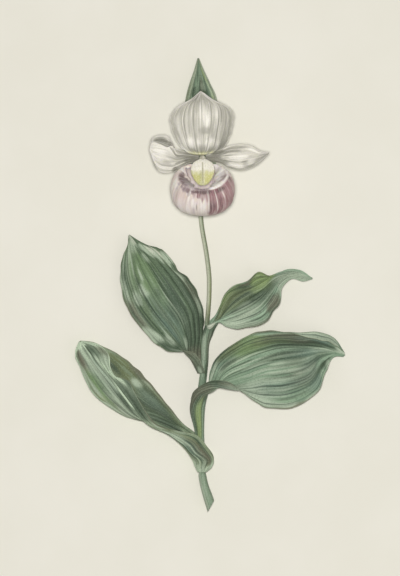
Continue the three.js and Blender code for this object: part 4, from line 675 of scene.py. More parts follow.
leafFour = {
    "guides": {
        "near": [
            (1, -9.5, 6.9), (4.7, -5.9, 7.3), (5.6, -0.7, 7.6), (1, 7.8, 11), (-5.5, 14.6, 12.6),
            (-17.6, 17.3, 13.8), (-30.6, 20.7, 15), (-38.7, 30.6, 16.8), (-45.5, 42.6, 17.8),
            (-49.4, 49.5, 17.8), (-57.5, 52.5, 17), (-61, 58.8, 15), (-62.1, 66.3, 13), (-68.9, 73.3, 9.8),
            (-80, 75.5, 7),
        ],
        "nearMid": [
            (-1.8, -9.5, 8.9), (-1, -6.5, 11.2), (-0.1, -2, 12.6), (-6.2, 2.9, 13.4), (-11.1, 8.8, 13.4),
            (-21.8, 15, 13), (-34.8, 20.7, 13.5), (-42.6, 28.9, 15.3), (-49.7, 38.7, 16),
            (-55.6, 46.5, 15.6), (-62.1, 54.3, 14.6), (-66.6, 61.4, 13), (-69.9, 67.6, 11.4),
            (-73.8, 71.8, 9.5), (-80.4, 75, 7.2),
        ],
        "rib": [
            (-4.7, -9.5, 6.5), (-6.4, -5.9, 7.1), (-8.1, -1.3, 7.8), (-12, 4.9, 9), (-17.2, 10.2, 9),
            (-25.4, 16.8, 9.4), (-36.1, 21.6, 10.4), (-46.1, 29.2, 12), (-55.2, 39.3, 12.8),
            (-62.1, 48.4, 12.4), (-67.9, 55.9, 11.4), (-72.5, 62.1, 10.2), (-76, 67.3, 9), (-78.7, 71.3, 8),
            (-80.9, 74.8, 7.2),
        ],
        "farMid": [
            (-2.5, -9.5, 3.1), (-0.8, -5.5, 0.9), (1, 0.3, 0.1), (-7.2, 8.5, 1.3), (-13.7, 15.3, 2.4),
            (-23.7, 20.8, 3.4), (-36.7, 25.4, 4), (-49.2, 26.5, 5), (-62.3, 33.8, 5.6), (-71.8, 41.6, 5.6),
            (-77.4, 51.1, 5.6), (-80.9, 59.5, 5.8), (-83.7, 65.7, 6.2), (-83.3, 70.5, 6.6),
            (-81.6, 75, 6.8),
        ],
        "far": [
            (1, -9.5, 4.9), (4.7, -5.2, 4.9), (5.6, 0.7, 5.2), (1.2, 7.2, 2), (-6.8, 16.2, 1.2),
            (-14.2, 21.8, 2), (-22.4, 31.9, 1.5), (-29.2, 40.6, 0.7), (-36.4, 49.1, 0.4),
            (-43.2, 56.9, 0.4), (-50.7, 63.1, 0.9), (-58.5, 68.4, 1.6), (-65.7, 71.7, 2.8),
            (-72.5, 74.8, 4.6), (-80.7, 75.7, 6.6),
        ],
    },
    "pleats": 4, "pleat": 0.35, "pleatFrom": 0.3, "waveNear": (0.6, 4, 0.5), "waveFar": (0.5, 5, 0.2),
    "frill": 0.008, "ribs": 12, "rib": 0.04, "uneven": 0.15, "seed": 41,
    "thick": 0.64, "upperSide": -1, "mesh": (180, 170),
    "washes": [
        ("pale", -64.4, 47.4, 45.5, 11.7, 50), ("olive", -9.8, 7.2, 45.5, 16.9, 60),
        ("olive", -3.2, 0.6, 26, 13, 60), ("olive", -24, 18.8, 26, 9.1, 50),
        ("green", -70.8, 46.1, 23.4, 9.1, 75), ("brown", -81.2, 63, 18.2, 5.2, 68),
        ("brown", -65.6, 68.9, 13, 3.9, 60), ("dark", -72.2, 70.2, 16.9, 4.5, 56),
        ("dark", -48.1, 39.6, 26, 7.8, 56), ("dark", -42.2, 29.9, 22.1, 5.2, 60),
        ("pale", -76, 65.6, 22.1, 1.95, 90), ("pale", -50, 31.2, 23.4, 1.3, 58),
        ("pale", -65, 61.1, 11.7, 5.2, 95), ("pale", -55.2, 47.4, 13, 1.95, 50),
        ("dark", -71.5, 62.4, 14.3, 1.95, 80), ("dark", -64.4, 54, 22.1, 1.55, 61),
        ("dark", -69.5, 55.9, 16.9, 1.3, 50), ("dark", -76, 59.2, 16.9, 1.3, 36),
        ("dark", -56.6, 42.9, 19.5, 1.3, 43), ("warm", -68.2, 39, 7.8, 2.6, 100),
        ("brown", -73.4, 44.2, 23.4, 2.6, 60), ("dark", -57.8, 35.1, 36.4, 1.3, 61),
        ("dark", -44.8, 26.6, 26, 1.55, 58), ("dark", -52.6, 35.8, 26, 1.15, 43),
        ("brown", -52, 28.6, 39, 2.3, 70), ("brown", -32.5, 20.8, 23.4, 2.3, 70),
        ("pale", -1.3, -5.8, 13, 2.6, 60), ("dark", -11, 5.8, 29.9, 1.45, 85),
        ("dark", -5.8, 3.2, 29.9, 1.3, 85), ("dark", -3.9, 10.4, 23.4, 1.7, 85),
        ("dark", -1.3, 0.6, 22.1, 1.3, 60), ("olive", -52, 57.8, 32.5, 14.3, 95),
        ("olive", -25.4, 28, 32.5, 7.8, 80), ("brown", -41, 53.3, 18.2, 6.5, 85),
        ("dark", -37, 35.8, 33.8, 11.7, 85), ("dark", -29.2, 25.4, 23.4, 7.8, 70),
        ("dark", -59.8, 59.2, 16.9, 3.2, 90), ("brown", -24, 34.4, 36.4, 3.9, 75),
        ("pale", -44.2, 48.1, 9.1, 5.2, 90), ("pale", -37.7, 47.4, 9.1, 3.2, 60),
        ("dark", -18.8, 18.8, 19.5, 2.6, 90), ("dark", -34.4, 42.2, 32.5, 1.3, 58),
        ("dark", -46.1, 52, 19.5, 1.15, 36), ("green", -35.8, 31.8, 19.5, 1.95, 40),
        ("brown", -6.5, 4.5, 28.6, 3.9, 50), ("dark", -13.6, 10.4, 23.4, 1.05, 60),
        ("warm", -74.8, 47.4, 14.3, 1.6, 58), ("brown", -3.9, 5.8, 22.1, 3.2, 50),
        ("dark", 0, 4.5, 19.5, 1.95, 50), ("pale", -71.5, 57.8, 26, 1.95, 50),
        ("pale", -79.3, 68.2, 6.5, 3.9, 70), ("dark", -11.7, 6.5, 28.6, 1.05, 60),
        ("dark", -3.2, 4.5, 26, 1.05, 60), ("dark", -7.8, 7.8, 26, 0.9, 60),
        ("pale", -70.8, 63, 16.9, 2.6, 60), ("cool", -65, 51.4, 32.5, 5.2, 40),
        ("dark", -55.2, 38.4, 39, 1.05, 43), ("dark", -61.8, 44.8, 32.5, 0.9, 36),
        ("olive", -35.8, 37, 39, 15.6, 60), ("dark", -30.6, 30.6, 32.5, 10.4, 80),
        ("dark", -35.8, 39.6, 26, 5.2, 70), ("dark", -24, 21.4, 19.5, 5.2, 80),
        ("brown", -34.4, 48.8, 15.6, 2.6, 50), ("pale", -44.2, 40.3, 16.9, 0.6, 43),
        ("olive", -54, 59.2, 16.9, 5.8, 70), ("pale", -44.8, 48.1, 7.8, 4.5, 80),
        ("dark", -50.7, 39.6, 28.6, 3.9, 60), ("dark", -58.5, 48.1, 26, 2.6, 50),
        ("green", -73.4, 48.1, 22.1, 5.2, 80), ("green", -65.6, 39.6, 22.1, 3.9, 60),
        ("warm", -67, 38.7, 6.5, 2.6, 100), ("pale", -74.1, 62.4, 23.4, 1.15, 65),
        ("pale", -64.4, 63, 7.8, 3.9, 90), ("brown", -68.9, 69.5, 10.4, 3.2, 50),
        ("brown", -81.9, 65, 13, 3.2, 70), ("dark", -77.4, 68.2, 13, 1.3, 36),
        ("dark", -55.2, 43.6, 32.5, 0.9, 50), ("dark", -64.4, 52.6, 26, 0.9, 50),
        ("dark", -69.5, 50.7, 26, 0.8, 36), ("pale", -68.9, 54, 19.5, 0.8, 50),
        ("pale", -61.8, 50.7, 19.5, 0.8, 36), ("pale", -56.6, 37, 26, 0.8, 29),
        ("cool", -12.3, 7.2, 32.5, 5.8, 60), ("pale", -14.3, 9.1, 18.2, 1.05, 60),
        ("pale", -7.8, -0.6, 15.6, 1.05, 60), ("pale", -9.8, 6.5, 22.1, 0.8, 60),
        ("pale", -3.9, -3.2, 10.4, 1.05, 60), ("pale", -17.6, 15.6, 10.4, 1.95, 60),
        ("brown", 1.3, 0.6, 18.2, 3.9, 80), ("dark", -5.8, 5.2, 22.1, 0.9, 80),
        ("dark", -11.7, 4.5, 22.1, 0.8, 70), ("pale", -72.2, 59.2, 16.9, 4.5, 60),
        ("pale", -66.3, 52.6, 16.9, 2.6, 40), ("pale", -61.8, 48.1, 39, 5.8, 30),
        ("cool", -34.4, 35.8, 26, 6.5, 30), ("pale", -71.5, 43.6, 19.5, 2.6, 90),
        ("dark", -75.4, 69.5, 9.1, 3.9, 80), ("pale", -21.4, 14.3, 16.9, 3.2, 85),
        ("pale", -16.2, 10.4, 13, 2.6, 85), ("pale", -30.6, 18.8, 10.4, 1.95, 70),
        ("dark", -52.6, 36.4, 16.9, 3.2, 75), ("pale", -50.7, 28, 16.9, 1.95, 70),
        ("pale", -78, 52.6, 14.3, 2.6, 70), ("dark", -50.7, 48.8, 10.4, 3.9, 60),
        ("dark", -42.9, 27.3, 13, 3.9, 60), ("pale", -18.8, 11.7, 13, 1.95, 80),
        ("pale", -62.4, 39, 15.6, 1.95, 50),
    ],
}
leafFourFinish = dict(leafFinish, colour="#8d9c80", second="#7e8f74", under="#cddfc3",
                      underSecond="#bccfb4", strokeLight=0.14, strokeDark=0.2, fibreDark=0.3, veins=10,
                      veinDark=0.6, veinLight=0.14, seed=13.0)
makeBlade("leaf_4_blade", "leaf_4", leafFour, leafFourFinish)
print("leaves done")

bract = {
    "guides": {
        "near": [
            (-5, 161.2, 8.4), (-8.1, 178.8, 8), (-10.4, 199.6, 7), (-10.7, 219.1, 6), (-9.6, 233.3, 5.6),
            (-7.4, 242.5, 5.4), (-5.5, 250.9, 5), (-4.5, 258.6, 4.4),
        ],
        "nearMid": [
            (-5.7, 160.6, 4.6), (-10.7, 178.8, 4.2), (-13.3, 199.6, 3.6), (-13.7, 219.1, 3.4),
            (-12, 233.3, 3.6), (-9.6, 242.5, 3.8), (-7, 250.9, 3.9), (-4.7, 258.8, 4),
        ],
        "rib": [
            (-2.9, 159.9, 1.6), (-2.9, 178.8, 0.3), (-2.9, 199.6, 0.2), (-2.9, 219.1, 0.2),
            (-3.1, 233.3, 0.8), (-3.6, 242.5, 1.4), (-4, 250.9, 2.4), (-4.4, 259.1, 3.8),
        ],
        "farMid": [
            (0, 160.6, 4.6), (4.9, 178.8, 4.2), (7.4, 199.6, 3.6), (8.1, 219.1, 3.4), (7, 233.3, 3.6),
            (3.1, 242.5, 3.8), (-0.8, 250.9, 3.9), (-4, 258.8, 4),
        ],
        "far": [
            (-0.7, 161.2, 8.4), (2.3, 178.8, 8), (4.5, 199.6, 7), (5.2, 219.1, 6), (4.3, 233.3, 5.6),
            (0.8, 242.5, 5.4), (-2.3, 250.9, 5), (-4.1, 258.6, 4.4),
        ],
    },
    "ribs": 9, "rib": 0.05, "uneven": 0.1, "seed": 51, "thick": 0.6, "upperSide": 1, "mesh": (120, 90),
    "washes": [
        ("dark", -2.6, 237.9, 14.3, 5.2, 90), ("brown", -2.6, 242.4, 15.6, 2.6, 50),
        ("pale", -9.8, 237.2, 23.4, 1.95, 60), ("pale", -6.5, 245.7, 16.9, 1.45, 60),
        ("warm", 1.3, 242.4, 26, 2.2, 90), ("warm", -2, 251.6, 13, 1.45, 60),
        ("warm", 3.9, 235.3, 10.4, 1.45, 70), ("dark", -4.2, 250.2, 18.2, 0.8, 90),
        ("brown", -11.7, 236, 16.9, 0.8, 50), ("brown", 5.5, 237.2, 16.9, 0.8, 50),
        ("dark", -7.8, 239.8, 23.4, 0.65, 50), ("dark", -0.6, 242.4, 19.5, 0.65, 50),
        ("olive", -9.8, 239.8, 19.5, 1.95, 30), ("dark", -0.6, 237.2, 9.1, 3.9, 50),
        ("dark", -5.8, 237.2, 9.1, 3.2, 60), ("pale", 2, 240.5, 10.4, 1.55, 60),
        ("dark", -7.2, 237.2, 6.5, 3.2, 80), ("pale", 2.6, 239.8, 11.7, 2.6, 60),
        ("pale", -1.3, 240.5, 5.2, 5.2, 25),
    ],
}
bractFinish = dict(leafFinish, colour="#afb8a1", second="#9ea891", veins=8, veinDark=0.5, seed=15.0)
makeBlade("floral_bract_blade", "floral_bract", bract, bractFinish)

# tints of the sepals and petals: the darkest is painted shade at the roots of the petals and under the
# dorsal sepal, the grey is painted shade in the hollows of the white sepal and petals, and the dark one is
# painted shade and dark veins
petalTints = {"pale": "#fbf8f0", "dark": "#86857a", "warm": "#d0d0a0", "deepShade": "#6b6a5e", "grey": "#b3b1a7"}
petalFinish = {
    "colour": "#f4f1e9", "second": "#ebe8e0", "under": "#dedbd2", "underSecond": "#d2cfc6",
    "tints": petalTints, "light": "#fdfaf2", "shade": "#b9b7ad",
    "mottle": 70, "stroke": (1.6, 6, 5), "fibre": (3, 20, 9), "seed": 20,
    "strokeLight": 0.3, "strokeDark": 0.2, "fibreLight": 0.2, "fibreDark": 0.25, "ragged": 0.7,
    "veins": 12, "veinDark": 0.25, "veinLight": 0.25, "veinColour": "#8f8e84", "veinDeep": 0.3,
    "veinSharp": 14, "grain": 0.22, "strokeDeep": 0.2, "fibreDeep": 0.1,
    "rough": 0.7, "down": 0.1, "gloss": 0.25, "glow": 0.2,
    "rim": "#dfdcd2", "rimWidth": 0.03, "rimAmount": 0.7,
}

dorsalSepal = {
    "guides": {
        "near": [
            (-4.2, 195.9, 24.2), (-11.1, 197.3, 29.5), (-17, 202.2, 31), (-20.9, 209.6, 33),
            (-23.5, 218.4, 34), (-19.4, 225.4, 32.5), (-10.3, 231.2, 30.5), (-3.4, 236.4, 29.2),
        ],
        "nearMid": [
            (-3.4, 195.8, 24), (-6.8, 196.7, 30.4), (-9.8, 199.9, 27.5), (-12.3, 208.7, 26.3),
            (-13.7, 219.1, 26.8), (-11.7, 227.6, 27.8), (-6.5, 232.7, 28.6), (-3.1, 236.8, 29.1),
        ],
        "rib": [
            (-2.6, 195.8, 24), (-2.4, 196.6, 30.8), (-2.4, 199.2, 26.6), (-2.4, 208.3, 24),
            (-2.5, 219.7, 24.4), (-2.6, 229.3, 25.6), (-2.6, 234, 27.4), (-2.7, 237.1, 29),
        ],
        "farMid": [
            (-1.8, 195.8, 24), (2, 196.8, 30.4), (4.9, 199.9, 27.5), (7.2, 208.7, 26.3), (8.8, 219.7, 26.8),
            (7.5, 228.3, 27.8), (2, 233, 28.6), (-2.4, 236.8, 29.1),
        ],
        "far": [
            (-1, 195.9, 24.2), (7.2, 198.1, 29.5), (12.9, 201.2, 31), (16.9, 210, 33), (19.2, 219.6, 34),
            (16, 225.8, 32.5), (6.2, 231.2, 30.5), (-2.1, 236.4, 29.2),
        ],
    },
    "pleats": 4, "pleat": 0.2, "pleatFrom": 0.35, "waveNear": (0.3, 3, 0), "waveFar": (0.3, 3, 1),
    "frill": 0.05, "ribs": 8, "rib": 0.05, "uneven": 0.12, "seed": 61,
    "thick": 0.68, "upperSide": 1, "mesh": (120, 130),
    "washes": [
        ("pale", 0.6, 221.6, 13, 7.8, 100), ("pale", -7.8, 204.1, 7.8, 10.4, 100),
        ("pale", 3.2, 204.1, 6.5, 7.8, 100), ("pale", -13.6, 200.8, 7.8, 5.2, 50),
        ("pale", 6.5, 224.2, 9.1, 2.6, 60), ("grey", -16.2, 215.8, 35.8, 9.1, 55),
        ("grey", 16.9, 217.8, 35.8, 9.1, 80), ("grey", -1.3, 230.1, 11.7, 23.4, 50),
        ("grey", 13.6, 204.8, 19.5, 6.5, 80), ("grey", -5.8, 213.8, 16.9, 13, 45),
        ("grey", 5.2, 215.2, 15.6, 3.9, 50), ("dark", 0, 211.9, 5.2, 9.1, 50),
        ("dark", -1.3, 199.6, 5.2, 22.1, 60), ("dark", 17.6, 212.6, 28.6, 1.95, 60),
        ("warm", -2, 196.3, 2.3, 31.2, 100), ("grey", -17.6, 224.2, 11.7, 1.95, 50),
        ("pale", -2.9, 229.4, 22.1, 0.85, 100), ("pale", -8.4, 224.2, 22.1, 0.85, 90),
        ("pale", -6.5, 206, 22.1, 0.8, 80), ("pale", -14.3, 219, 26, 0.8, 80),
        ("pale", -11.7, 202.2, 15.6, 0.7, 70), ("pale", 3.2, 225.6, 22.1, 0.8, 80),
        ("pale", 2.6, 204.8, 22.1, 0.8, 70), ("pale", 9.1, 224.2, 19.5, 0.7, 70),
        ("pale", -19.5, 222.3, 15.6, 0.7, 60), ("pale", 14.3, 224.2, 15.6, 0.7, 60),
        ("dark", -7.2, 220.4, 29.9, 1, 80), ("dark", -5.2, 202.2, 15.6, 0.85, 80),
        ("dark", 3.6, 221.6, 28.6, 1, 80), ("dark", 1.3, 202.8, 14.3, 0.85, 70),
        ("dark", 8.4, 217.8, 28.6, 0.9, 75), ("dark", 5.8, 202.2, 11.7, 0.85, 70),
        ("dark", -13, 215.2, 28.6, 0.85, 65), ("dark", -9.8, 199.6, 9.1, 0.8, 50),
        ("dark", -18.2, 207.4, 22.1, 0.85, 60), ("dark", -2, 224.2, 19.5, 0.65, 60),
        ("dark", 13, 216.4, 23.4, 0.8, 60), ("dark", -1.3, 209.3, 16.9, 0.7, 50),
        ("dark", -10.4, 220.4, 22.1, 0.6, 50), ("dark", 0.6, 228.2, 15.6, 0.6, 50),
        ("dark", 5.8, 226.8, 15.6, 0.6, 50), ("dark", -15.6, 224.2, 15.6, 0.6, 40),
        ("grey", -18.8, 217.8, 19.5, 5.2, 60), ("dark", 16.9, 221.6, 14.3, 3.2, 40),
        ("grey", 11, 211.2, 16.9, 3.2, 60), ("pale", -0.6, 236.6, 3.2, 13, 60),
        ("grey", -3.9, 233.4, 9.1, 7.8, 50), ("grey", -10.4, 225.6, 19.5, 3.9, 40),
        ("dark", -9.1, 228.8, 15.6, 1.05, 50), ("grey", 11, 224.2, 13, 5.2, 60),
        ("grey", 4.5, 211.9, 9.1, 6.5, 40), ("dark", -12.3, 224.2, 16.9, 0.8, 50),
        ("dark", -4.5, 229.4, 13, 0.8, 50), ("dark", 10.4, 224.2, 15.6, 0.8, 50),
        ("dark", 2, 232, 10.4, 0.8, 50), ("dark", 16.9, 215.8, 16.9, 1.05, 70),
        ("dark", 14.3, 208, 15.6, 1.05, 70), ("grey", 18.2, 220.4, 15.6, 3.2, 60),
        ("dark", 11, 200.8, 7.8, 1.15, 60), ("grey", 13.6, 225.6, 7.8, 5.2, 60),
        ("grey", -5.8, 229.4, 10.4, 3.2, 50), ("grey", -11, 220.4, 19.5, 4.5, 40),
        ("dark", 18.2, 213.8, 19.5, 1.3, 50), ("grey", -17.6, 213.8, 13, 3.9, 30),
        ("grey", -22.1, 220.4, 19.5, 3.2, 60), ("grey", -20.8, 209.3, 19.5, 3.2, 50),
        ("dark", -23.1, 215.8, 22.1, 1.05, 40), ("grey", -15, 226.8, 9.1, 3.2, 40),
        ("grey", 13.6, 229.4, 10.4, 2.6, 40), ("dark", -5.2, 233.4, 9.1, 3.2, 80),
        ("dark", 9.1, 199.6, 11.7, 5.8, 80), ("dark", 11.7, 204.8, 15.6, 5.2, 60),
        ("dark", 5.8, 207.4, 13, 3.9, 45), ("grey", -1.3, 232.7, 6.5, 2.6, 50),
        ("dark", -7.2, 234, 6.5, 2.6, 60), ("dark", 11, 200.2, 10.4, 5.8, 70),
        ("pale", -17.6, 217.1, 13, 4.5, 40), ("dark", 12.3, 201.5, 10.4, 3.9, 60),
        ("dark", -2.6, 233.4, 7.8, 6.5, 50), ("dark", 2.6, 197.6, 6.5, 1.95, 60),
        ("deepShade", 15.6, 208, 9.1, 1, 60), ("deepShade", 11.7, 203.4, 7.8, 2.6, 60),
        ("deepShade", 9.8, 204.8, 11.7, 0.85, 60), ("deepShade", 13, 202.2, 5.2, 1.95, 60),
        ("deepShade", -7.2, 232, 5.2, 3.9, 35), ("deepShade", 9.4, 201.5, 5.2, 3.2, 70),
        ("deepShade", 7.2, 199.2, 3.9, 1.95, 60),
    ],
}
sepalFinish = dict(petalFinish, colour="#bfbcb5", second="#adaaa3", strokeDark=0.35, fibreDark=0.4,
                   seed=22.0, veins=9, veinDark=0.35, veinColour="#6f6e65", veinSharp=60)
makeBlade("dorsal_sepal_blade", "dorsal_sepal", dorsalSepal, sepalFinish)

synsepal = {
    "guides": {
        "near": [
            (-4.9, 190.1, 23), (-9.1, 186.2, 22.6), (-11.1, 178.1, 21.8), (-10.7, 169.7, 22),
            (-7.5, 163.2, 23), (-3, 159.4, 24),
        ],
        "nearMid": [
            (-3.6, 189.9, 22.6), (-5.5, 185.6, 20.8), (-6.5, 177.5, 18.6), (-6.3, 169, 18.8),
            (-4.9, 162.8, 20.6), (-2.5, 159.1, 23.6),
        ],
        "rib": [
            (-2, 189.8, 22.5), (-1.8, 185.2, 20.2), (-1.8, 177.1, 17.4), (-1.8, 168.7, 17.6),
            (-1.8, 162.5, 19.8), (-2, 159, 23.4),
        ],
        "farMid": [
            (-0.3, 189.9, 22.6), (2, 185.6, 20.8), (3, 177.5, 18.6), (2.8, 169, 18.8), (1.3, 162.8, 20.6),
            (-1.4, 159.1, 23.6),
        ],
        "far": [
            (1, 190.1, 23), (5.5, 186.2, 22.6), (7.5, 178.1, 21.8), (7.2, 169.7, 22), (3.9, 163.2, 23),
            (-0.9, 159.4, 24),
        ],
    },
    "ribs": 6, "rib": 0.04, "uneven": 0.1, "seed": 71, "thick": 0.68, "upperSide": 1, "mesh": (60, 48),
    "washes": [],
}
makeBlade("synsepal_blade", "synsepal", synsepal, dict(petalFinish, seed=25.0))

petalLeft = {
    "guides": {
        "near": [
            (-4.1, 195.9, 23), (-12.3, 198.2, 25), (-18.9, 200.1, 27), (-22.1, 201.8, 29.6),
            (-24.4, 200.8, 32.5), (-28.9, 202.8, 34), (-33.1, 203.9, 34), (-35.5, 201.5, 32.4),
        ],
        "nearMid": [
            (-4.1, 195, 23.2), (-12.3, 196.3, 24.6), (-18.7, 197.6, 26.4), (-21.5, 203.8, 29),
            (-24.4, 207.7, 30.8), (-29.6, 208.1, 31.8), (-33.8, 206.2, 32.6), (-35.7, 200.8, 32.2),
        ],
        "rib": [
            (-4.1, 194, 23.4), (-12, 193.9, 24.2), (-18.5, 192.7, 25.4), (-21.8, 193.7, 26.4),
            (-25, 194.3, 27.4), (-29.6, 195.7, 29), (-33.5, 197.3, 30.8), (-35.8, 199.8, 32),
        ],
        "farMid": [
            (-4.1, 193.1, 23.2), (-11.7, 191.8, 25), (-17.9, 189.5, 26.4), (-20.8, 188.5, 27.4),
            (-24.4, 188.5, 28.4), (-28.6, 189.5, 29.6), (-32.8, 193.1, 31), (-35.6, 198.8, 31.8),
        ],
        "far": [
            (-4.1, 192.1, 23), (-11.4, 189.8, 26), (-16.9, 186.9, 27.8), (-20.5, 184.9, 28.8),
            (-25.4, 184.1, 29.8), (-30, 185.5, 30.8), (-33.5, 191.1, 31.6), (-35.4, 197.9, 31.6),
        ],
    },
    "pleats": 3, "pleat": 0.14, "pleatFrom": 0.25, "waveNear": (0.2, 2, 0), "waveFar": (0.3, 2, 1),
    "ribs": 7, "rib": 0.04, "uneven": 0.15, "seed": 81, "thick": 0.68, "upperSide": 1, "mesh": (110, 100),
    "washes": [
        ("dark", -28, 204.8, 11.7, 7.2, 100), ("deepShade", -27.3, 206, 7.8, 2.6, 60),
        ("deepShade", -8.4, 195, 11.7, 7.2, 100), ("dark", -13.6, 194.3, 13, 5.2, 70),
        ("deepShade", -12.3, 197, 14.3, 1.55, 80), ("dark", -20.2, 197.6, 14.3, 1.3, 60),
        ("grey", -22.8, 192.4, 13, 2.6, 50), ("deepShade", -11.7, 191.1, 11.7, 1.95, 85),
        ("grey", -34.4, 193, 15.6, 1.3, 50), ("deepShade", -18.8, 187.2, 5.8, 2.6, 80),
        ("deepShade", -5.2, 193, 6.5, 6.5, 95), ("dark", -16.2, 195.6, 16.9, 0.8, 70),
        ("dark", -15, 192.4, 16.9, 0.8, 70), ("dark", -17.6, 198.9, 16.9, 0.8, 60),
        ("dark", -18.8, 190.4, 15.6, 0.8, 60), ("dark", -22.8, 195, 13, 0.6, 50),
        ("dark", -35.8, 189.2, 10.4, 1.95, 60), ("pale", -29.2, 197.6, 13, 5.2, 60),
        ("deepShade", -29.2, 204.8, 7.8, 3.9, 90), ("dark", -25.4, 203.4, 5.2, 2.6, 90),
        ("pale", -22.8, 198.2, 6.5, 2.6, 70), ("pale", -35.8, 196.3, 10.4, 4.5, 70),
        ("dark", -16.2, 189.8, 13, 1.05, 60), ("pale", -30.6, 194.3, 10.4, 5.2, 60),
        ("dark", -11, 198.2, 10.4, 1.3, 60), ("deepShade", -22.1, 202.8, 3.2, 3.2, 90),
        ("dark", -24, 202.2, 3.9, 1.95, 70), ("grey", -21.4, 195, 9.1, 5.2, 50),
        ("grey", -24, 190.4, 10.4, 3.2, 40), ("grey", -27.3, 186.6, 16.9, 2.6, 60),
        ("deepShade", -19.5, 187.8, 3.9, 2.6, 90), ("dark", -18.8, 193, 7.8, 3.2, 30),
        ("grey", -16.2, 198.2, 7.8, 2.6, 60), ("dark", -37, 196.3, 15.6, 1.05, 50),
        ("pale", -29.9, 200.2, 9.1, 2.6, 50), ("grey", -29.2, 191.1, 10.4, 1.95, 50),
        ("deepShade", -9.8, 193.7, 7.8, 3.9, 80),
    ],
}
makeBlade("petal_left_blade", "petal_left", petalLeft, dict(petalFinish, seed=27.0))

petalRight = {
    "guides": {
        "near": [
            (0.5, 195.9, 23), (9.1, 198.9, 25.4), (15.3, 202, 27.6), (22.8, 203, 29.2), (29.6, 202, 30),
            (35.1, 198.9, 31), (40.5, 197.7, 32.2),
        ],
        "nearMid": [
            (0.5, 195, 23.2), (9.1, 196.6, 24.6), (15.5, 198.4, 26.2), (22.8, 199.2, 27.6),
            (29.4, 198.9, 28.8), (35.2, 197.1, 30.4), (40.8, 197.4, 32.2),
        ],
        "rib": [
            (0.5, 194, 23.4), (9.1, 194.5, 24.2), (15.6, 194.5, 25.4), (22.8, 194.5, 26.6),
            (29.2, 195.3, 28), (35.2, 195.5, 30), (41, 197, 32.2),
        ],
        "farMid": [
            (0.5, 193.1, 23.2), (9.2, 192.5, 25), (15.6, 190.8, 26.4), (22.8, 189.8, 28),
            (29.2, 190.8, 29.6), (34.8, 192.7, 31), (40.7, 196.6, 32.2),
        ],
        "far": [
            (0.5, 192.1, 23), (9.4, 190.6, 26), (15.3, 187.3, 27.8), (22.1, 185.9, 29.8),
            (28.9, 187.2, 31.2), (34.5, 190.2, 32), (40.3, 196.1, 32.2),
        ],
    },
    "pleats": 3, "pleat": 0.14, "pleatFrom": 0.25, "waveNear": (0.2, 2, 0), "waveFar": (0.3, 2, 1),
    "ribs": 7, "rib": 0.04, "uneven": 0.15, "seed": 91, "thick": 0.68, "upperSide": 1, "mesh": (100, 100),
    "washes": [
        ("deepShade", 5.2, 194.3, 10.4, 7.8, 100), ("dark", 10.4, 193, 11.7, 4.5, 75),
        ("dark", 22.8, 200.8, 22.1, 1.55, 80), ("dark", 15, 198.2, 15.6, 1.3, 70),
        ("dark", 28, 189.2, 9.1, 1.95, 40), ("dark", 33.1, 188.5, 16.9, 1.95, 85),
        ("deepShade", 3.2, 193, 7.8, 5.2, 90), ("deepShade", 7.8, 189.8, 10.4, 1.95, 85),
        ("dark", 12.3, 195.6, 15.6, 0.7, 70), ("dark", 13.6, 193, 16.9, 0.7, 65),
        ("dark", 15, 190.4, 15.6, 0.7, 60), ("dark", 17.6, 195.6, 13, 0.6, 50),
        ("dark", 26.6, 194.3, 7.8, 0.65, 20), ("dark", 41, 196.3, 11.7, 1.95, 60),
        ("grey", 34.4, 193, 10.4, 2.6, 70), ("pale", 21.4, 195, 14.3, 3.9, 90),
        ("pale", 20.2, 189.2, 13, 2.6, 70), ("pale", 31.8, 198.9, 13, 1.95, 80),
        ("dark", 20.2, 185.9, 13, 1.3, 60), ("deepShade", 0.6, 194.3, 5.2, 3.9, 80),
        ("pale", 15, 201.5, 10.4, 1.3, 50), ("dark", 16.2, 200.2, 16.9, 1.3, 60),
        ("dark", 20.2, 187.5, 13, 1.55, 80), ("dark", 18.2, 198.2, 19.5, 0.8, 60),
        ("grey", 26.6, 191.1, 5.2, 3.9, 60), ("dark", 13.6, 201.5, 9.1, 0.9, 50),
        ("dark", 11.7, 189.8, 5.8, 1.7, 80), ("dark", 15.6, 187.8, 4.5, 1.7, 70),
        ("grey", 37, 196.3, 7.8, 3.2, 70), ("grey", 33.1, 192.4, 9.1, 3.9, 60),
        ("dark", 8.4, 197.6, 7.8, 2.6, 60), ("grey", 17.6, 200.8, 15.6, 1.95, 50),
        ("dark", 25.4, 192.4, 4.5, 1.7, 60), ("deepShade", 7.2, 196.3, 7.8, 5.2, 70),
        ("pale", 29.9, 192.4, 5.8, 3.9, 50), ("deepShade", 11, 197, 7.8, 2.6, 60),
        ("dark", 16.9, 186.6, 6.5, 2.6, 70), ("dark", 17.6, 185.9, 6.5, 1.95, 70),
        ("deepShade", 6.5, 197, 5.2, 1.95, 60), ("deepShade", 10.4, 198.2, 4.5, 1.95, 50),
    ],
}
makeBlade("petal_right_blade", "petal_right", petalRight, dict(petalFinish, seed=29.0))
print("sepals and petals done")


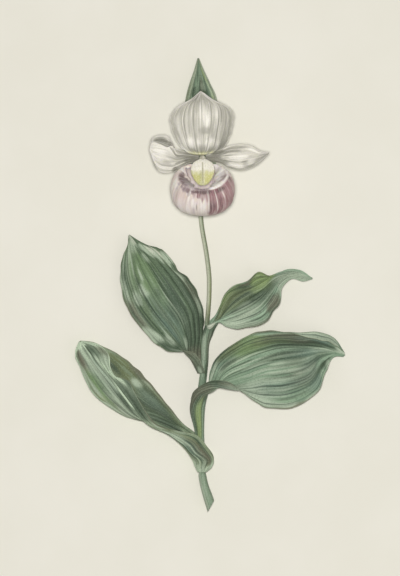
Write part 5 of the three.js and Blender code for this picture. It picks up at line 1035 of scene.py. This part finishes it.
def makeRod(name, replaced, rod, look):
    steps, sides = rod["mesh"]
    t, a = np.meshgrid(np.linspace(0, 1, steps + 1), np.arange(sides) * 2 * math.pi / sides, indexing="ij")
    centre = along(rod["line"], t)
    ahead = along(rod["line"], np.minimum(t + 0.01, 1)) - along(rod["line"], np.maximum(t - 0.01, 0))
    ahead = unitRows(ahead)
    sideways = unitRows(np.cross(ahead, [0.0, 0.0, 1.0]))
    up = np.cross(sideways, ahead)
    radius = along(rod["radius"], t) + rod["ribDepth"] * np.cos(rod["ribs"] * a)
    radius = radius + rod["uneven"] * gentle(40 * t, np.cos(a) * 2, rod["seed"])
    points = centre + sideways * (radius * np.cos(a))[..., None] + up * (radius * np.sin(a))[..., None]
    layers = [(tint, amount(np.cos(a), points[..., 1])) for tint, amount in rod["washes"]]
    points = points.reshape(-1, 3)
    faces = [f[::-1] for f in gridFaces(steps + 1, sides, closed=True)]
    faces += [list(range(sides)), [steps * sides + k for k in range(sides)][::-1]]
    lay = np.stack([np.cos(a), np.sin(a), t], -1).reshape(-1, 3)
    return newPiece(name, points, outwards(points, faces), lay, layers, look, replaced)


stem = {
    "line": [
        (5.6, -37.1, 6), (2, -26, 6), (-0.4, -18.5, 6), (-1.8, -11.7, 6), (-2, -8.5, 6), (-2.6, 1.3, 6),
        (-3.2, 12.3, 6), (-3.8, 24.1, 6), (-3.8, 33.8, 6), (-2.9, 42.2, 6), (-1.5, 50.1, 6), (-0.7, 57.9, 6),
        (-0.3, 69.5, 6), (0.3, 77.4, 6), (1.2, 85.8, 6), (2.2, 97.5, 6), (2.7, 108.5, 6), (2.5, 119, 6),
        (0.7, 133.2, 5.8), (-1.7, 146.9, 5.6), (-2.7, 155.3, 5.4), (-2.8, 161.8, 5.4),
    ],
    "radius": [3.3, 3.05, 2.7, 2.5, 1.8, 1.6, 1.6, 1.6, 1.55, 1.3, 1.4, 1.45, 1.45, 1.45, 1.45,
               1.45, 1.5, 1.5, 1.45, 1.45, 1.5, 1.6],
    "mesh": (320, 44), "ribs": 9, "ribDepth": 0.05, "uneven": 0.03, "seed": 5,
    "cutFacing": (-0.88, 0.48, 0), "cutReach": -18.5,
    # side is 1 on the right of the stem and -1 on the left, y is the height along the stem
    # the dark and olive washes down the right side are painted shade, and the cream and pale ones down the
    # left side are painted highlight, as if light fell from the left
    "washes": [
        ("dark", lambda side, y: 0.75 * smoothStep(0.25, 0.95, side) * (0.5 + 0.5 * smoothStep(60, 80, y))),
        ("litCream", lambda side, y: 0.85 * smoothStep(0.55, -0.25, side) * smoothStep(86, 100, y)),
        ("warm", lambda side, y: 0.6 * smoothStep(-0.3, 0.5, side) * smoothStep(84, 96, y)
         * smoothStep(128, 108, y)),
        ("olive", lambda side, y: 0.75 * smoothStep(0.2, 0.85, side) * smoothStep(86, 100, y)),
        ("pale", lambda side, y: 0.6 * smoothStep(-0.1, -0.8, side) * smoothStep(70, 40, y)),
        ("olive", lambda side, y: 0.55 * np.exp(-(((y - 93) / 6) ** 2))),
        ("dark", lambda side, y: 0.6 * np.exp(-(((y - 89) / 4) ** 2)) * smoothStep(-0.6, 0.1, side)),
    ],
}
# the cream and pale tints are painted highlight on the left of the stem, the dark and olive ones painted
# shade on its right
stemTints = {
    "litCream": "#c8c9b2", "olive": "#7c7c58", "dark": "#55614a", "warm": "#a4ac7a", "pale": "#b9c6b2",
}
stemFinish = dict(leafFinish, round=True, colour="#8f9f86", second="#84957c", tints=stemTints,
                  light="#b4c0ab", shade="#6a7860", stroke=(3, 3, 4), fibre=(14, 14, 18), veins=8,
                  veinDark=0.3, veinLight=0.2, veinDeep=0.3, seed=33.0, rim=None, mottle=50)
stemPiece = makeRod("stem_and_scape", "stem", stem, stemFinish)

# the foot is cut on the slant, and the cut shows the pith
pithFinish = dict(stemFinish, colour="#b9bda2", second="#a9b093", mottle=900, seed=35.0)
stemPiece.data.materials.append(plantFinish("cut pith", pithFinish))
shape = bmesh.new()
shape.from_mesh(stemPiece.data)
facing = np.array(stem["cutFacing"]) / np.linalg.norm(stem["cutFacing"])
spot = facing * stem["cutReach"] * mm
done = bmesh.ops.bisect_plane(shape, geom=shape.verts[:] + shape.edges[:] + shape.faces[:], plane_co=spot,
                              plane_no=facing, clear_inner=True, dist=1e-7)
rimEdges = [e for e in done["geom_cut"] if isinstance(e, bmesh.types.BMEdge)]
for face in bmesh.ops.contextual_create(shape, geom=rimEdges)["faces"]:
    face.material_index = 1
    face.smooth = False
bmesh.ops.recalc_face_normals(shape, faces=shape.faces[:])
shape.to_mesh(stemPiece.data)
shape.free()

ovary = {
    "line": [
        (-2.8, 162.8, 5.5), (-2.7, 170.3, 6.6), (-2.5, 178.1, 9.2), (-2.1, 185.9, 13.6), (-1.9, 191.4, 19),
        (-1.8, 194, 22),
    ],
    "radius": [1.9, 2.3, 2.6, 2.6, 2.2, 1.8],
    "mesh": (90, 72), "ribs": 6, "ribDepth": 0.22, "uneven": 0.04, "seed": 8, "washes": [],
}
ovaryFinish = dict(stemFinish, colour="#7d8a66", second="#73805f", seed=37.0, veins=12)
makeRod("ovary_body", "ovary", ovary, ovaryFinish)
print("stem and ovary done")


pouch = {
    "centre": (-1.6, 173.5, 38.0), "half": (20.6, 17.3, 16.0), "square": 2.35,
    "mouthTilt": 51, "mouthHalfAngle": 55, "wall": 0.9,
    # flaps of the folded rim: (towards, spread, reach)
    "rimFold": 2.0, "flaps": [(-6, 64, 7.0), (-168, 56, 6.6)], "flapSink": 0.5, "foldRoot": 1.7,
    "flutes": 20, "fluteDepth": 0.2,
    # creases that run down from the rim: (towards, width in degrees, depth)
    "creases": [(-150, 5, 0.5), (-128, 4, 0.45), (-108, 5, 0.55), (-84, 4, 0.6),
                (-66, 6, 0.7), (-47, 4, 0.6), (-30, 5, 0.55), (-12, 5, 0.45)],
    "rings": 60, "sides": 216, "turns": 720,
    "notchAt": (-1.7, 191.4, 33.5), "notchHalf": (6.6, 6.6, 12.0),
    # the rim's folded section: (share of its reach, drop, 1 where it is the underside)
    "rimSection": [(0.1, 0.3, 0), (0.22, 0.45, 0), (0.35, 0.5, 0), (0.5, 0.48, 0), (0.65, 0.4, 0),
                   (0.8, 0.25, 0), (0.92, 0.05, 0), (0.98, -0.2, 0), (1, -0.45, 0), (0.99, -0.75, 1),
                   (0.95, -0.95, 1), (0.75, -1.0, 1), (0.5, -0.95, 1), (0.25, -1.0, 1), (0, -1.1, 1)],
    # patches like those of the blades: (tint, x, y, length down the skin, width round it, strength); one
    # that says share has (bearing, place, half width, half length, strength), with the bearing and the half
    # width in degrees and the rest in hundredths, and places run from 0 at the bottom to 100 at the rim,
    # 200 over the fold and 300 down the inside
    # many of these patches are painted shade (the deeper rose, mauve, shadow and grey ones), laid over the
    # lip's own rose, blush and white
    "washes": [
        ("rose", "share", -42, 42, 34, 30, 55), ("rose", "share", -20, 62, 26, 22, 60),
        ("rose", "share", -60, 50, 16, 20, 50), ("blush", "share", -130, 45, 50, 30, 40),
        ("rose", 11, 167.7, 16.9, 15.6, 90), ("rose", 15.6, 174.8, 11.7, 7.8, 90),
        ("shadedRose", 16.9, 176.2, 14.3, 3.9, 85), ("shadedRose", 5.2, 167.7, 19.5, 5.2, 80),
        ("shadow", 5.2, 162.5, 9.1, 3.9, 80), ("shadedRose", 11, 163.8, 14.3, 3.2, 70),
        ("shadedRose", 15, 169.6, 11.7, 3.2, 70), ("shadow", 9.1, 173.6, 3.2, 6.5, 85),
        ("shadedRose", 5.2, 172.9, 3.2, 6.5, 80), ("shadow", 15.6, 182, 6.5, 2.6, 80),
        ("white", 2.1, 165.1, 18.2, 1.3, 100), ("white", 8.4, 165.8, 14.3, 0.7, 80),
        ("white", 13, 169, 10.4, 0.7, 60), ("white", 7.2, 158.6, 3.9, 1.95, 40),
        ("shadow", -2, 172.1, 2.6, 9.3, 95), ("shadedRose", -1.3, 169.3, 4.5, 4.5, 80),
        ("shadedRose", -7.2, 169.6, 4.5, 1.7, 70), ("shadedRose", -3.9, 170.3, 3.9, 1.5, 60),
        ("mauveShade", -12.3, 173.2, 2.6, 5.8, 90), ("shadow", -11, 173.6, 1.6, 3.9, 80),
        ("shadedRose", -8.4, 171.6, 2.6, 2.6, 50), ("white", -10.7, 169, 10.4, 1.15, 90),
        ("blush", -15, 167, 16.9, 5.8, 60), ("white", -7.2, 163.2, 14.3, 4.5, 50),
        ("shadow", -5.5, 161.8, 4.5, 0.6, 80), ("grey", -20.2, 170.3, 16.9, 1.95, 60),
        ("lilac", -18.2, 176.2, 5.2, 1.3, 50), ("white", -19.5, 178.8, 9.1, 3.9, 50),
        ("lilac", -15.6, 163.2, 6.5, 0.7, 40), ("lilac", -10.4, 164.4, 10.4, 0.7, 40),
        ("mauveShade", -13.6, 181.3, 7.8, 4.5, 85), ("shadow", -15.3, 180.7, 3.2, 5.2, 70),
        ("grey", -9.1, 177.4, 9.1, 4.5, 80), ("lilac", -11.7, 178.1, 7.8, 3.9, 70),
        ("shadow", -11.7, 185.2, 1.05, 6.5, 85), ("shadow", -13.3, 184, 1.05, 5.8, 60),
        ("shadow", -11, 180, 0.9, 5.2, 60), ("white", -14.9, 187.4, 3.9, 3, 80),
        ("white", -11, 188.2, 3.2, 3.2, 60), ("lilac", -7.8, 174.2, 3.2, 2.6, 60),
        ("mauveShade", -2, 174.5, 5.2, 9.1, 95), ("shadow", 0.6, 173.2, 1.3, 5.2, 70),
        ("lilac", -3.2, 175.5, 3.2, 1.95, 50), ("white", 11, 180, 10.4, 19.5, 90),
        ("mint", 7.5, 185.2, 7.8, 5.2, 80), ("white", 7.8, 190.1, 5.2, 3.9, 95),
        ("white", 13.6, 186.6, 6.5, 5.2, 80), ("rose", 11, 181, 1.45, 5.2, 70),
        ("mauveShade", 13.6, 184, 1.95, 3.9, 70), ("mauveShade", 9.1, 179.7, 1.05, 5.2, 60),
        ("mauveShade", 12.3, 181.7, 0.9, 4.5, 60), ("white", 5.8, 175.5, 5.2, 6.5, 100),
        ("grey", 5.2, 180, 5.2, 1.7, 50), ("mauveShade", 4.5, 178.1, 3.2, 1, 50),
        ("mauveShade", -14.3, 179.4, 5.8, 5.2, 80), ("shadow", -15.9, 183.3, 3.2, 5.2, 60),
        ("mauveShade", -11, 176.2, 3.2, 3.9, 50), ("lilac", -8.4, 175.5, 3.9, 3.9, 60),
        ("rose", 2, 169, 7.8, 5.2, 60), ("shadedRose", 9.1, 164.4, 15.6, 1.95, 60),
        ("shadow", 3.9, 163.2, 5.2, 1.95, 60), ("shadow", -4.5, 172.1, 1.95, 10.4, 90),
        ("shadow", 2, 171.9, 2.6, 3.9, 80), ("shadedRose", -2, 168.3, 3.9, 2.2, 80),
        ("shadedRose", 1, 168.3, 5.8, 1.3, 80), ("shadedRose", -5.2, 169.3, 3.2, 1.05, 70),
        ("shadow", 2.9, 169.6, 7.8, 1.55, 60), ("shadow", 10.4, 165.8, 5.2, 1.1, 70),
        ("shadow", 11.7, 167.7, 1.95, 2.6, 50), ("shadow", 6.5, 171.6, 1.95, 1.95, 70),
        ("shadedRose", 7.8, 169, 9.1, 1.3, 60), ("rose", 4.5, 164.4, 11.7, 4.5, 50),
        ("shadow", 17.6, 168.3, 7.8, 1.95, 60), ("shadow", 3.9, 158.6, 2.6, 3.2, 50),
        ("lilac", 5.8, 163.2, 6.5, 1.95, 40), ("white", -22.1, 173.6, 15.6, 1.8, 50),
        ("shadow", -22.9, 174.8, 19.5, 0.5, 40), ("mauveShade", -15.6, 176.2, 2.6, 1.95, 70),
        ("mauveShade", -17.2, 177.4, 1.95, 2.6, 50), ("white", -1.3, 163.2, 14.3, 5.2, 50),
        ("lilac", -7.8, 159.2, 5.2, 2.6, 40), ("white", 10.4, 184.6, 5.8, 4.5, 70),
        ("lilac", 12.3, 185.9, 2.6, 1.95, 40), ("mauveShade", 8.4, 182, 3.2, 2.6, 60),
        ("mauveShade", 10.7, 182.6, 2.6, 1.3, 70), ("shadow", 13.6, 182.5, 1.3, 2.4, 60),
        ("lilac", 7.2, 186.6, 5.2, 1.3, 50), ("white", 3.2, 185.9, 5.2, 1.95, 60),
        ("lilac", 5.2, 182, 3.2, 1.5, 60), ("white", 9.1, 176.2, 2.6, 7.8, 90),
        ("shadow", -15, 178.8, 2.6, 1.95, 80), ("mauveShade", -13, 176.8, 1.95, 3.9, 70),
        ("grey", -9.8, 175.5, 2.6, 3.9, 70), ("shadow", -10.4, 182.7, 2.6, 1.05, 60),
        ("white", -13.6, 185.9, 3.2, 1.3, 60), ("mauveShade", -11.7, 187.5, 1.95, 0.75, 60),
        ("shadedRose", 5.2, 159.9, 7.8, 5.8, 70), ("shadow", 3.9, 161.8, 7.8, 1.95, 70),
        ("shadedRose", 9.1, 160.6, 6.5, 3.2, 70), ("shadow", 6.5, 163.2, 3.9, 2.6, 50),
        ("rose", 13.6, 163.2, 6.5, 3.2, 60), ("shadow", 11.7, 162.5, 3.9, 1.3, 50),
        ("white", 2, 165.8, 19.5, 1.25, 50), ("white", 8.4, 165.8, 15.6, 0.75, 80),
        ("white", 13.3, 168.3, 11.7, 0.7, 80), ("white", -10.5, 168.3, 9.1, 0.6, 80),
        ("white", -12, 171, 3.2, 1.2, 70), ("shadow", -11.7, 172.6, 1.95, 1.75, 80),
        ("white", -15.6, 162.5, 10.4, 7.8, 60), ("blush", -18.8, 167, 10.4, 5.2, 60),
        ("shadow", 0, 171.6, 2.6, 3.9, 80), ("shadedRose", -4.5, 169.3, 3.9, 1.95, 70),
        ("shadow", -8.4, 172.2, 1.3, 2.6, 60), ("shadedRose", -1.3, 167, 3.9, 1.15, 60),
        ("mauveShade", -11, 171, 3.2, 2.2, 50), ("grey", 8.4, 186.6, 6.5, 3.9, 60),
        ("grey", 10.4, 183.3, 3.9, 3.2, 50), ("mint", 7.2, 183.3, 5.2, 2.6, 50),
        ("mauveShade", 12.3, 182, 1.6, 3.9, 60), ("rose", 18.2, 174.2, 11.7, 5.2, 80),
        ("rose", 19.5, 179.4, 7.8, 3.2, 80), ("shadedRose", 19.5, 169.6, 9.1, 2.6, 60),
        ("shadedRose", 16.9, 164.4, 6.5, 3.2, 60), ("rose", 15, 172.2, 9.1, 5.2, 50),
        ("shadow", 12.3, 174.2, 1.95, 5.8, 50), ("mauveShade", -13.6, 182, 5.2, 2.6, 50),
        ("shadow", -14.3, 177.4, 2.6, 3.2, 60), ("blush", -17.6, 165.1, 15.6, 9.1, 50),
        ("grey", -7.8, 176.8, 3.2, 3.2, 50), ("mauveShade", -0.6, 173.6, 2.6, 7.8, 50),
        ("blush", -10.4, 159.9, 6.5, 3.2, 70), ("mauveShade", -13.6, 174.2, 3.9, 3.2, 80),
        ("mauveShade", -11.7, 173.6, 3.2, 2.6, 50), ("white", -11, 159.2, 10.4, 3.2, 50),
        ("shadedRose", 13.6, 166.4, 6.5, 3.9, 60), ("white", -17.6, 162.5, 9.1, 5.2, 40),
        ("mauveShade", -5.8, 174.2, 3.2, 3.2, 70),
    ],
}


def pouchAxes():
    tilt = math.radians(pouch["mouthTilt"])
    mouth = np.array([0, math.sin(tilt), math.cos(tilt)])
    east = np.array([1.0, 0, 0])
    return mouth, east, np.cross(mouth, east)


def apart(a, b):
    # the angle between two bearings, in degrees
    return (a - b + 180) % 360 - 180


def pouchWall(phi, a, inset):
    mouth, east, north = pouchAxes()
    p = np.radians(phi)[..., None]
    outward = east * np.cos(a)[..., None] + north * np.sin(a)[..., None]
    ray = -mouth * np.cos(p) + outward * np.sin(p)
    half = np.array(pouch["half"]) - inset
    reach = (np.abs(ray / half) ** pouch["square"]).sum(-1) ** (-1 / pouch["square"])
    swell = np.sin(p[..., 0]) ** 2
    reach = reach + pouch["fluteDepth"] * np.cos(pouch["flutes"] * a) * swell
    for toward, width, depth in pouch["creases"]:
        off = apart(np.degrees(a) + 3 * np.sin(0.06 * phi + toward), toward)
        reach = reach - depth * np.exp(-((off / width) ** 2)) * swell * smoothStep(35, 100, phi)
    return np.array(pouch["centre"]) + ray * reach[..., None]


def pouchRings(a):
    # each ring with its length along the skin: outside up to 1, rim and flaps to 2, inside to 3
    mouth, east, north = pouchAxes()
    last = 180 - pouch["mouthHalfAngle"]
    for i in range(1, pouch["rings"] + 1):
        yield pouchWall(np.full_like(a, last * i / pouch["rings"]), a, 0), i / pouch["rings"]
    edge = pouchWall(np.full_like(a, last), a, 0)
    middle = np.array(pouch["centre"]) + mouth * pouch["half"][2] * 0.62
    inward = unitRows(middle - edge)
    reach = np.full_like(a, pouch["rimFold"])
    for toward, spread, extra in pouch["flaps"]:
        reach = reach + extra * (1 - smoothStep(spread * 0.4, spread, abs(apart(np.degrees(a), toward))))
    reach = reach + 0.25 * np.sin(9 * a) + 0.2 * np.sin(17 * a + 1)
    for part, drop, under in pouch["rimSection"]:
        depth = pouch["foldRoot"] + (reach - pouch["foldRoot"]) * part if under else reach * part
        sag = pouch["flapSink"] * np.maximum(0, depth - pouch["foldRoot"])
        crimp = 0.14 * np.sin(23 * a + 4 * part) * smoothStep(0.2, 0.8, part) * smoothStep(2.5, 6, reach)
        ring = edge + inward * depth[:, None] + mouth * (drop - sag + crimp)[:, None]
        ring[:, 2] = np.minimum(ring[:, 2], cadBox[1][2] / mm)
        yield ring, 1 + (1 - 0.5 * part if under else 0.5 * part)
    for i in range(pouch["rings"] - 5, 0, -1):
        share = i / pouch["rings"]
        yield pouchWall(np.full_like(a, last * share), a, pouch["wall"]), 3 - share


def pouchWashes(bearing, length):
    turns = pouch["turns"]
    bearings = np.arange(turns) * 2 * math.pi / turns
    rings = list(pouchRings(bearings))
    whole = np.stack([ring for ring, _ in rings])
    shares = [share for _, share in rings]
    seen = seenFromAbove(whole)
    for tint, *numbers in pouch["washes"]:
        if numbers[0] == "share":
            toward, place, wide, long, strength = numbers[1:]
            place, long = place / 100, long / 100
        else:
            x, y, long, wide, strength = numbers
            i, j = topmost(seen, whole[..., 2], x, y, washing["withinPouch"])
            toward, place = np.degrees(bearings[j]), shares[i]
            low, high = max(i - 2, 0), min(i + 2, len(rings) - 1)
            perShare = np.linalg.norm(seen[high, j] - seen[low, j]) / (shares[high] - shares[low])
            left, right = j - 4, (j + 4) % turns
            perDegree = np.linalg.norm(seen[i, right] - seen[i, left]) / (8 * 360 / turns)
            long, wide = min(0.5 * long / perShare, washing["mostAlong"]), 0.5 * wide / perDegree
        far = (apart(bearing, toward) / wide) ** 2 + ((length - place) / long) ** 2
        # a colour stays on its own side of the rim
        side = smoothStep(-0.012, 0.012, (length - 1.0) * (1 if place >= 1 else -1))
        yield tint, strength / 100 * side * np.exp(-(far**2))


def makePouch(look):
    sides = pouch["sides"]
    a = np.arange(sides) * 2 * math.pi / sides
    rings = list(pouchRings(a))
    points = np.concatenate([ring for ring, _ in rings])
    length = np.repeat([share for _, share in rings], sides)
    faces = gridFaces(len(rings), sides, closed=True)
    faces += [list(range(sides))[::-1], [(len(rings) - 1) * sides + k for k in range(sides)]]
    mesh = bpy.data.meshes.new("lip_pouch")
    mesh.from_pydata((points * mm).tolist(), [], outwards(points, faces))
    piece = bpy.data.objects.new("lip_pouch", mesh)
    scene.collection.objects.link(piece)
    cutNotch(piece)
    # after the cut each corner takes its place on the skin from the nearest old one
    old = KDTree(len(points))
    for k, point in enumerate(points):
        old.insert(point * mm, k)
    old.balance()
    nearest = np.array([old.find(corner.co)[1] for corner in piece.data.vertices])
    points, length = points[nearest], length[nearest]
    around = a[nearest % sides]
    lay = np.stack([np.cos(around), np.sin(around), length], -1)
    layers = [("throat", smoothStep(1.75, 2.1, length))]
    layers += list(pouchWashes(np.degrees(around), length))
    return dress(piece, lay, layers, look, "lip")


def cutNotch(piece):
    # the back of the rim is notched where the column stands
    shape = bmesh.new()
    bmesh.ops.create_uvsphere(shape, u_segments=64, v_segments=40, radius=1.0)
    for corner in shape.verts:
        corner.co = [(c * h + at) * mm for c, h, at in zip(corner.co, pouch["notchHalf"], pouch["notchAt"])]
    tool = bpy.data.objects.new("notchTool", bpy.data.meshes.new("notchTool"))
    shape.to_mesh(tool.data)
    shape.free()
    scene.collection.objects.link(tool)
    cut = piece.modifiers.new("notch", "BOOLEAN")
    cut.operation, cut.solver, cut.object = "DIFFERENCE", "EXACT", tool
    made = bpy.data.meshes.new_from_object(piece.evaluated_get(bpy.context.evaluated_depsgraph_get()))
    piece.modifiers.clear()
    piece.data = made
    bpy.data.objects.remove(tool)


# tints of the lip: the deeper rose is its own rose with painted shade on the right flank and under the right
# flap; the mauve is painted shade inside the mouth and on the left flap; the grey is painted shade on the
# flaps; the throat tint is the lighter inside
pouchTints = {
    "rose": "#ad898c", "shadedRose": "#8b6067", "shadow": "#5f494b", "white": "#fbf8f2", "blush": "#e0cfc8",
    "grey": "#c2bcbb", "mauveShade": "#8f7f84", "mint": "#d3d8cc", "throat": "#e9dcda", "lilac": "#b3a6ab",
}
pouchFinish = dict(petalFinish, round=True, colour="#eee1da", second="#e5d7d0", tints=pouchTints,
                   light="#efe6e0", shade="#bfa5a3", stroke=(4.5, 4.5, 1.1), fibre=(22, 22, 5), veins=20,
                   veinDark=0.15, veinLight=0.2, veinColour="#9a7478", veinDeep=0.3, rim=None, seed=41.0,
                   glow=0.5, strokeLight=0.16, strokeDark=0.14, fibreDark=0.15, grain=0.14)
makePouch(pouchFinish)
print("pouch done")

column = {
    "balls": [((-1.8, 190.9, 28.6), (2.5, 2.1, 4.5)), ((-1.75, 193.6, 26.0), (2.2, 2.2, 1.65)),
              ((-1.6, 189.6, 33.6), (2.5, 2.3, 5.1)),
              ((-4.6, 188.8, 34.6), (1.2, 1.1, 1.7)), ((1.4, 188.8, 34.6), (1.2, 1.1, 1.7)),
              ((-1.6, 185.6, 36.6), (2.4, 3.1, 1.3))],
    "grain": 0.3,
}


def makeColumn(look):
    shape = bmesh.new()
    for at, half in column["balls"]:
        made = bmesh.ops.create_uvsphere(shape, u_segments=40, v_segments=24, radius=1.0)
        for corner in made["verts"]:
            corner.co = [(c * h + o) * mm for c, h, o in zip(corner.co, half, at)]
    piece = bpy.data.objects.new("column_body", bpy.data.meshes.new("column_body"))
    shape.to_mesh(piece.data)
    shape.free()
    scene.collection.objects.link(piece)
    skin = piece.modifiers.new("skin", "REMESH")
    skin.mode, skin.voxel_size = "VOXEL", column["grain"] * mm
    melt = piece.modifiers.new("melt", "SMOOTH")
    melt.factor, melt.iterations = 0.5, 6
    made = bpy.data.meshes.new_from_object(piece.evaluated_get(bpy.context.evaluated_depsgraph_get()))
    piece.modifiers.clear()
    piece.data = made
    points = np.empty(len(made.vertices) * 3)
    made.vertices.foreach_get("co", points)
    points = points.reshape(-1, 3) / mm
    a = np.arctan2(points[:, 1] - 190, points[:, 0] + 1.7)
    sideLobe = smoothStep(2.2, 3.4, abs(points[:, 0] + 1.6))
    lay = np.stack([np.cos(a), np.sin(a), (points[:, 2] - 24) / 15], -1)
    # painted shade: the column darkens low down under the staminode, and its back, between the dorsal sepal
    # and the staminode, is painted grey; the side lobes are their own warm yellow
    layers = [("dark", 0.5 * smoothStep(30, 26, points[:, 2])), ("warm", 0.9 * sideLobe),
              ("foot", 0.95 * smoothStep(191.6, 192.8, points[:, 1]))]
    return dress(piece, lay, layers, look, "column")


# the dark and foot tints are painted shade; the warm one is the yellowish anthers
columnTints = {"dark": "#94957f", "warm": "#c7b86a", "foot": "#a8a596"}
columnFinish = dict(petalFinish, round=True, colour="#c9c9ac", second="#babb9c", tints=columnTints,
                    stroke=(3, 3, 2), fibre=(9, 9, 9), veins=6, veinDark=0.15, veinLight=0.1, rim=None,
                    seed=43.0)
makeColumn(columnFinish)

staminode = {
    "centre": (-1.5, 185.9, 43.4), "halfWidth": 7.5, "up": 7.9, "down": 11.2, "thick": 2.2, "tilt": 25,
    "rings": 30, "sides": 96,
}


def makeStaminode(look):
    tilt = math.radians(staminode["tilt"])
    upward = np.array([0, math.cos(tilt), -math.sin(tilt)])
    outward = np.array([0, math.sin(tilt), math.cos(tilt)])
    sides, rings = staminode["sides"], staminode["rings"]
    a = np.arange(sides) * 2 * math.pi / sides
    rows, lay = [], []

    def ring(r, front):
        broad = np.where(np.sin(a) > 0, 0.82, 0.95)
        x = r * staminode["halfWidth"] * np.sign(np.cos(a)) * abs(np.cos(a)) ** broad
        x = x * (1.02 - 0.14 * smoothStep(0, 1, -np.sin(a)))
        y = r * np.sin(a) * np.where(np.sin(a) > 0, staminode["up"], staminode["down"])
        # two soft shoulders with a dip between them at the top
        shoulders = 0.05 * np.cos(2 * math.pi * np.cos(a)) - 0.1 * np.exp(-((x / 1.3) ** 2))
        y = y * (1 + smoothStep(0, 1, np.sin(a)) * shoulders)
        dome = math.sqrt(max(0, 1 - r**2.4))
        groove = 0.35 * np.exp(-((x / 0.7) ** 2)) * dome if front else 0
        z = staminode["thick"] * (0.75 if front else -0.25) * dome - groove
        z = z + (0.12 * dome * gentle(0.6 * x, 0.6 * y, 12) if front else 0)
        sideways = np.array(staminode["centre"]) + np.stack([x, 0 * x, 0 * x], -1)
        rows.append(sideways + upward * y[:, None] + outward * (z + 0 * x)[:, None])
        lay.append(np.stack([y / 10, x / 7.5, np.full_like(x, 1.0 if front else 0.0)], -1))

    for r in (0.01, 0.035):
        ring(r, True)
    for i in range(rings):
        ring(math.sin((i + 1) / rings * math.pi / 2), True)
    for i in range(rings - 2, -1, -1):
        ring(math.sin((i + 1) / rings * math.pi / 2), False)
    points, lay = np.concatenate(rows), np.concatenate(lay)
    faces = gridFaces(len(rows), sides, closed=True)
    faces += [list(range(sides))[::-1], [(len(rows) - 1) * sides + k for k in range(sides)]]
    y, x = lay[:, 0] * 10, lay[:, 1] * 7.5
    # the groove down the middle is painted darker, as shade in its crease; the yellow low down and the green
    # are the shield's own colours
    groove = np.exp(-(((x + 0.02 * y) / 0.5) ** 2)) * smoothStep(6.2, 4.5, y)
    low = smoothStep(1.5, -5.5, y + 0.5 * gentle(0.8 * x, 0.5 * y, 6))
    lowerEdge = smoothStep(0.9, 1.0, np.hypot(x / 7.4, y / 10.6)) * (y < 0)
    layers = [("yellow", low * (0.55 + 0.4 * smoothStep(0.8, 2.6, abs(x)))),
              ("green", 0.5 * np.exp(-(((x + 1.3) / 1.0) ** 2)) * smoothStep(0.5, -3, y)),
              ("groove", 0.7 * groove), ("green", 0.6 * lowerEdge)]
    faces = outwards(points, faces)
    return newPiece("staminode_shield", points, faces, lay, layers, look, "staminode")


# the groove tint is painted shade
staminodeTints = {"yellow": "#cfcd84", "green": "#b7b77c", "groove": "#a5a284"}
staminodeFinish = dict(petalFinish, colour="#fbf7ec", second="#f2efe0", under="#cfcdb4",
                       underSecond="#c4c2a8", tints=staminodeTints, shade="#bdb98c", stroke=(2.2, 4, 3),
                       fibre=(9, 12, 9), veins=9, veinDark=0.1, veinLight=0.1, rim=None, strokeDark=0.15,
                       seed=47.0, glow=0.08)
makeStaminode(staminodeFinish)
print("column and staminode done")


studio = {
    "floorColour": "#e9e7dd", "floorSecond": "#e6e4d9", "floorHalf": 2500.0, "floorDrop": 0.1,
    "ambient": 0.16, "warmth": (1.0, 0.985, 0.955),
    "keyAt": (-12.0, 175.0, 2400.0), "keySize": 220.0, "keyPower": 45.5,
    "fillAt": (900.0, -500.0, 1100.0), "fillSize": 1200.0, "fillPower": 2.0,
    "lightsAimAt": 10.0,
}

floorMesh = bpy.data.meshes.new("studio_floor")
reach = studio["floorHalf"] * mm
corners = [(-reach, -reach, 0), (reach, -reach, 0), (reach, reach, 0), (-reach, reach, 0)]
floorMesh.from_pydata(corners, [], [(0, 1, 2, 3)])
floor = bpy.data.objects.new("studio_floor", floorMesh)
floor.location.z = -studio["floorDrop"] * mm
scene.collection.objects.link(floor)
paper = bpy.data.materials.new("floor paper")
paper.use_nodes = True
tree = paper.node_tree
sheet = tree.nodes["Principled BSDF"]
place = addNode(tree, "ShaderNodeTexCoord").outputs["Object"]
cloud = noise(tree, place, (14, 14, 14), 3.0)
clouds = fit(tree, cloud, 0.3, 0.7)
tone = blend(tree, clouds, paint(studio["floorColour"]), paint(studio["floorSecond"]))
tree.links.new(tone, sheet.inputs["Base Color"])
sheet.inputs["Roughness"].default_value = 0.9
sheet.inputs["Specular IOR Level"].default_value = 0.1
floorMesh.materials.append(paper)

world = bpy.data.worlds.new("studio")
world.use_nodes = True
world.node_tree.nodes["Background"].inputs["Color"].default_value = (*studio["warmth"], 1)
world.node_tree.nodes["Background"].inputs["Strength"].default_value = studio["ambient"]
scene.world = world


def softLight(name, at, size, power):
    lamp = bpy.data.lights.new(name, "AREA")
    lamp.shape, lamp.size, lamp.energy, lamp.color = "DISK", size * mm, power, studio["warmth"]
    holder = bpy.data.objects.new(name, lamp)
    holder.location = [c * mm for c in at]
    aim = np.array([*view["lookAt"], studio["lightsAimAt"]]) * mm
    look = [aim[k] - holder.location[k] for k in range(3)]
    holder.rotation_mode = "QUATERNION"
    holder.rotation_quaternion = Vector(look).to_track_quat("-Z", "Y")
    holder.visible_camera = False
    scene.collection.objects.link(holder)


softLight("key", studio["keyAt"], studio["keySize"], studio["keyPower"])
softLight("fill", studio["fillAt"], studio["fillSize"], studio["fillPower"])

camera = bpy.data.cameras.new("camera")
camera.sensor_fit, camera.sensor_height, camera.sensor_width = "AUTO", view["sensor"], view["sensor"]
camera.lens = view["lens"]
stand = bpy.data.objects.new("camera", camera)
stand.location = (view["lookAt"][0] * mm, view["lookAt"][1] * mm, viewHeight * mm)
camera.clip_end = 50.0
scene.collection.objects.link(stand)
scene.camera = stand
scene.view_settings.view_transform = "Standard"
print("camera", round(viewHeight), "mm above the table")
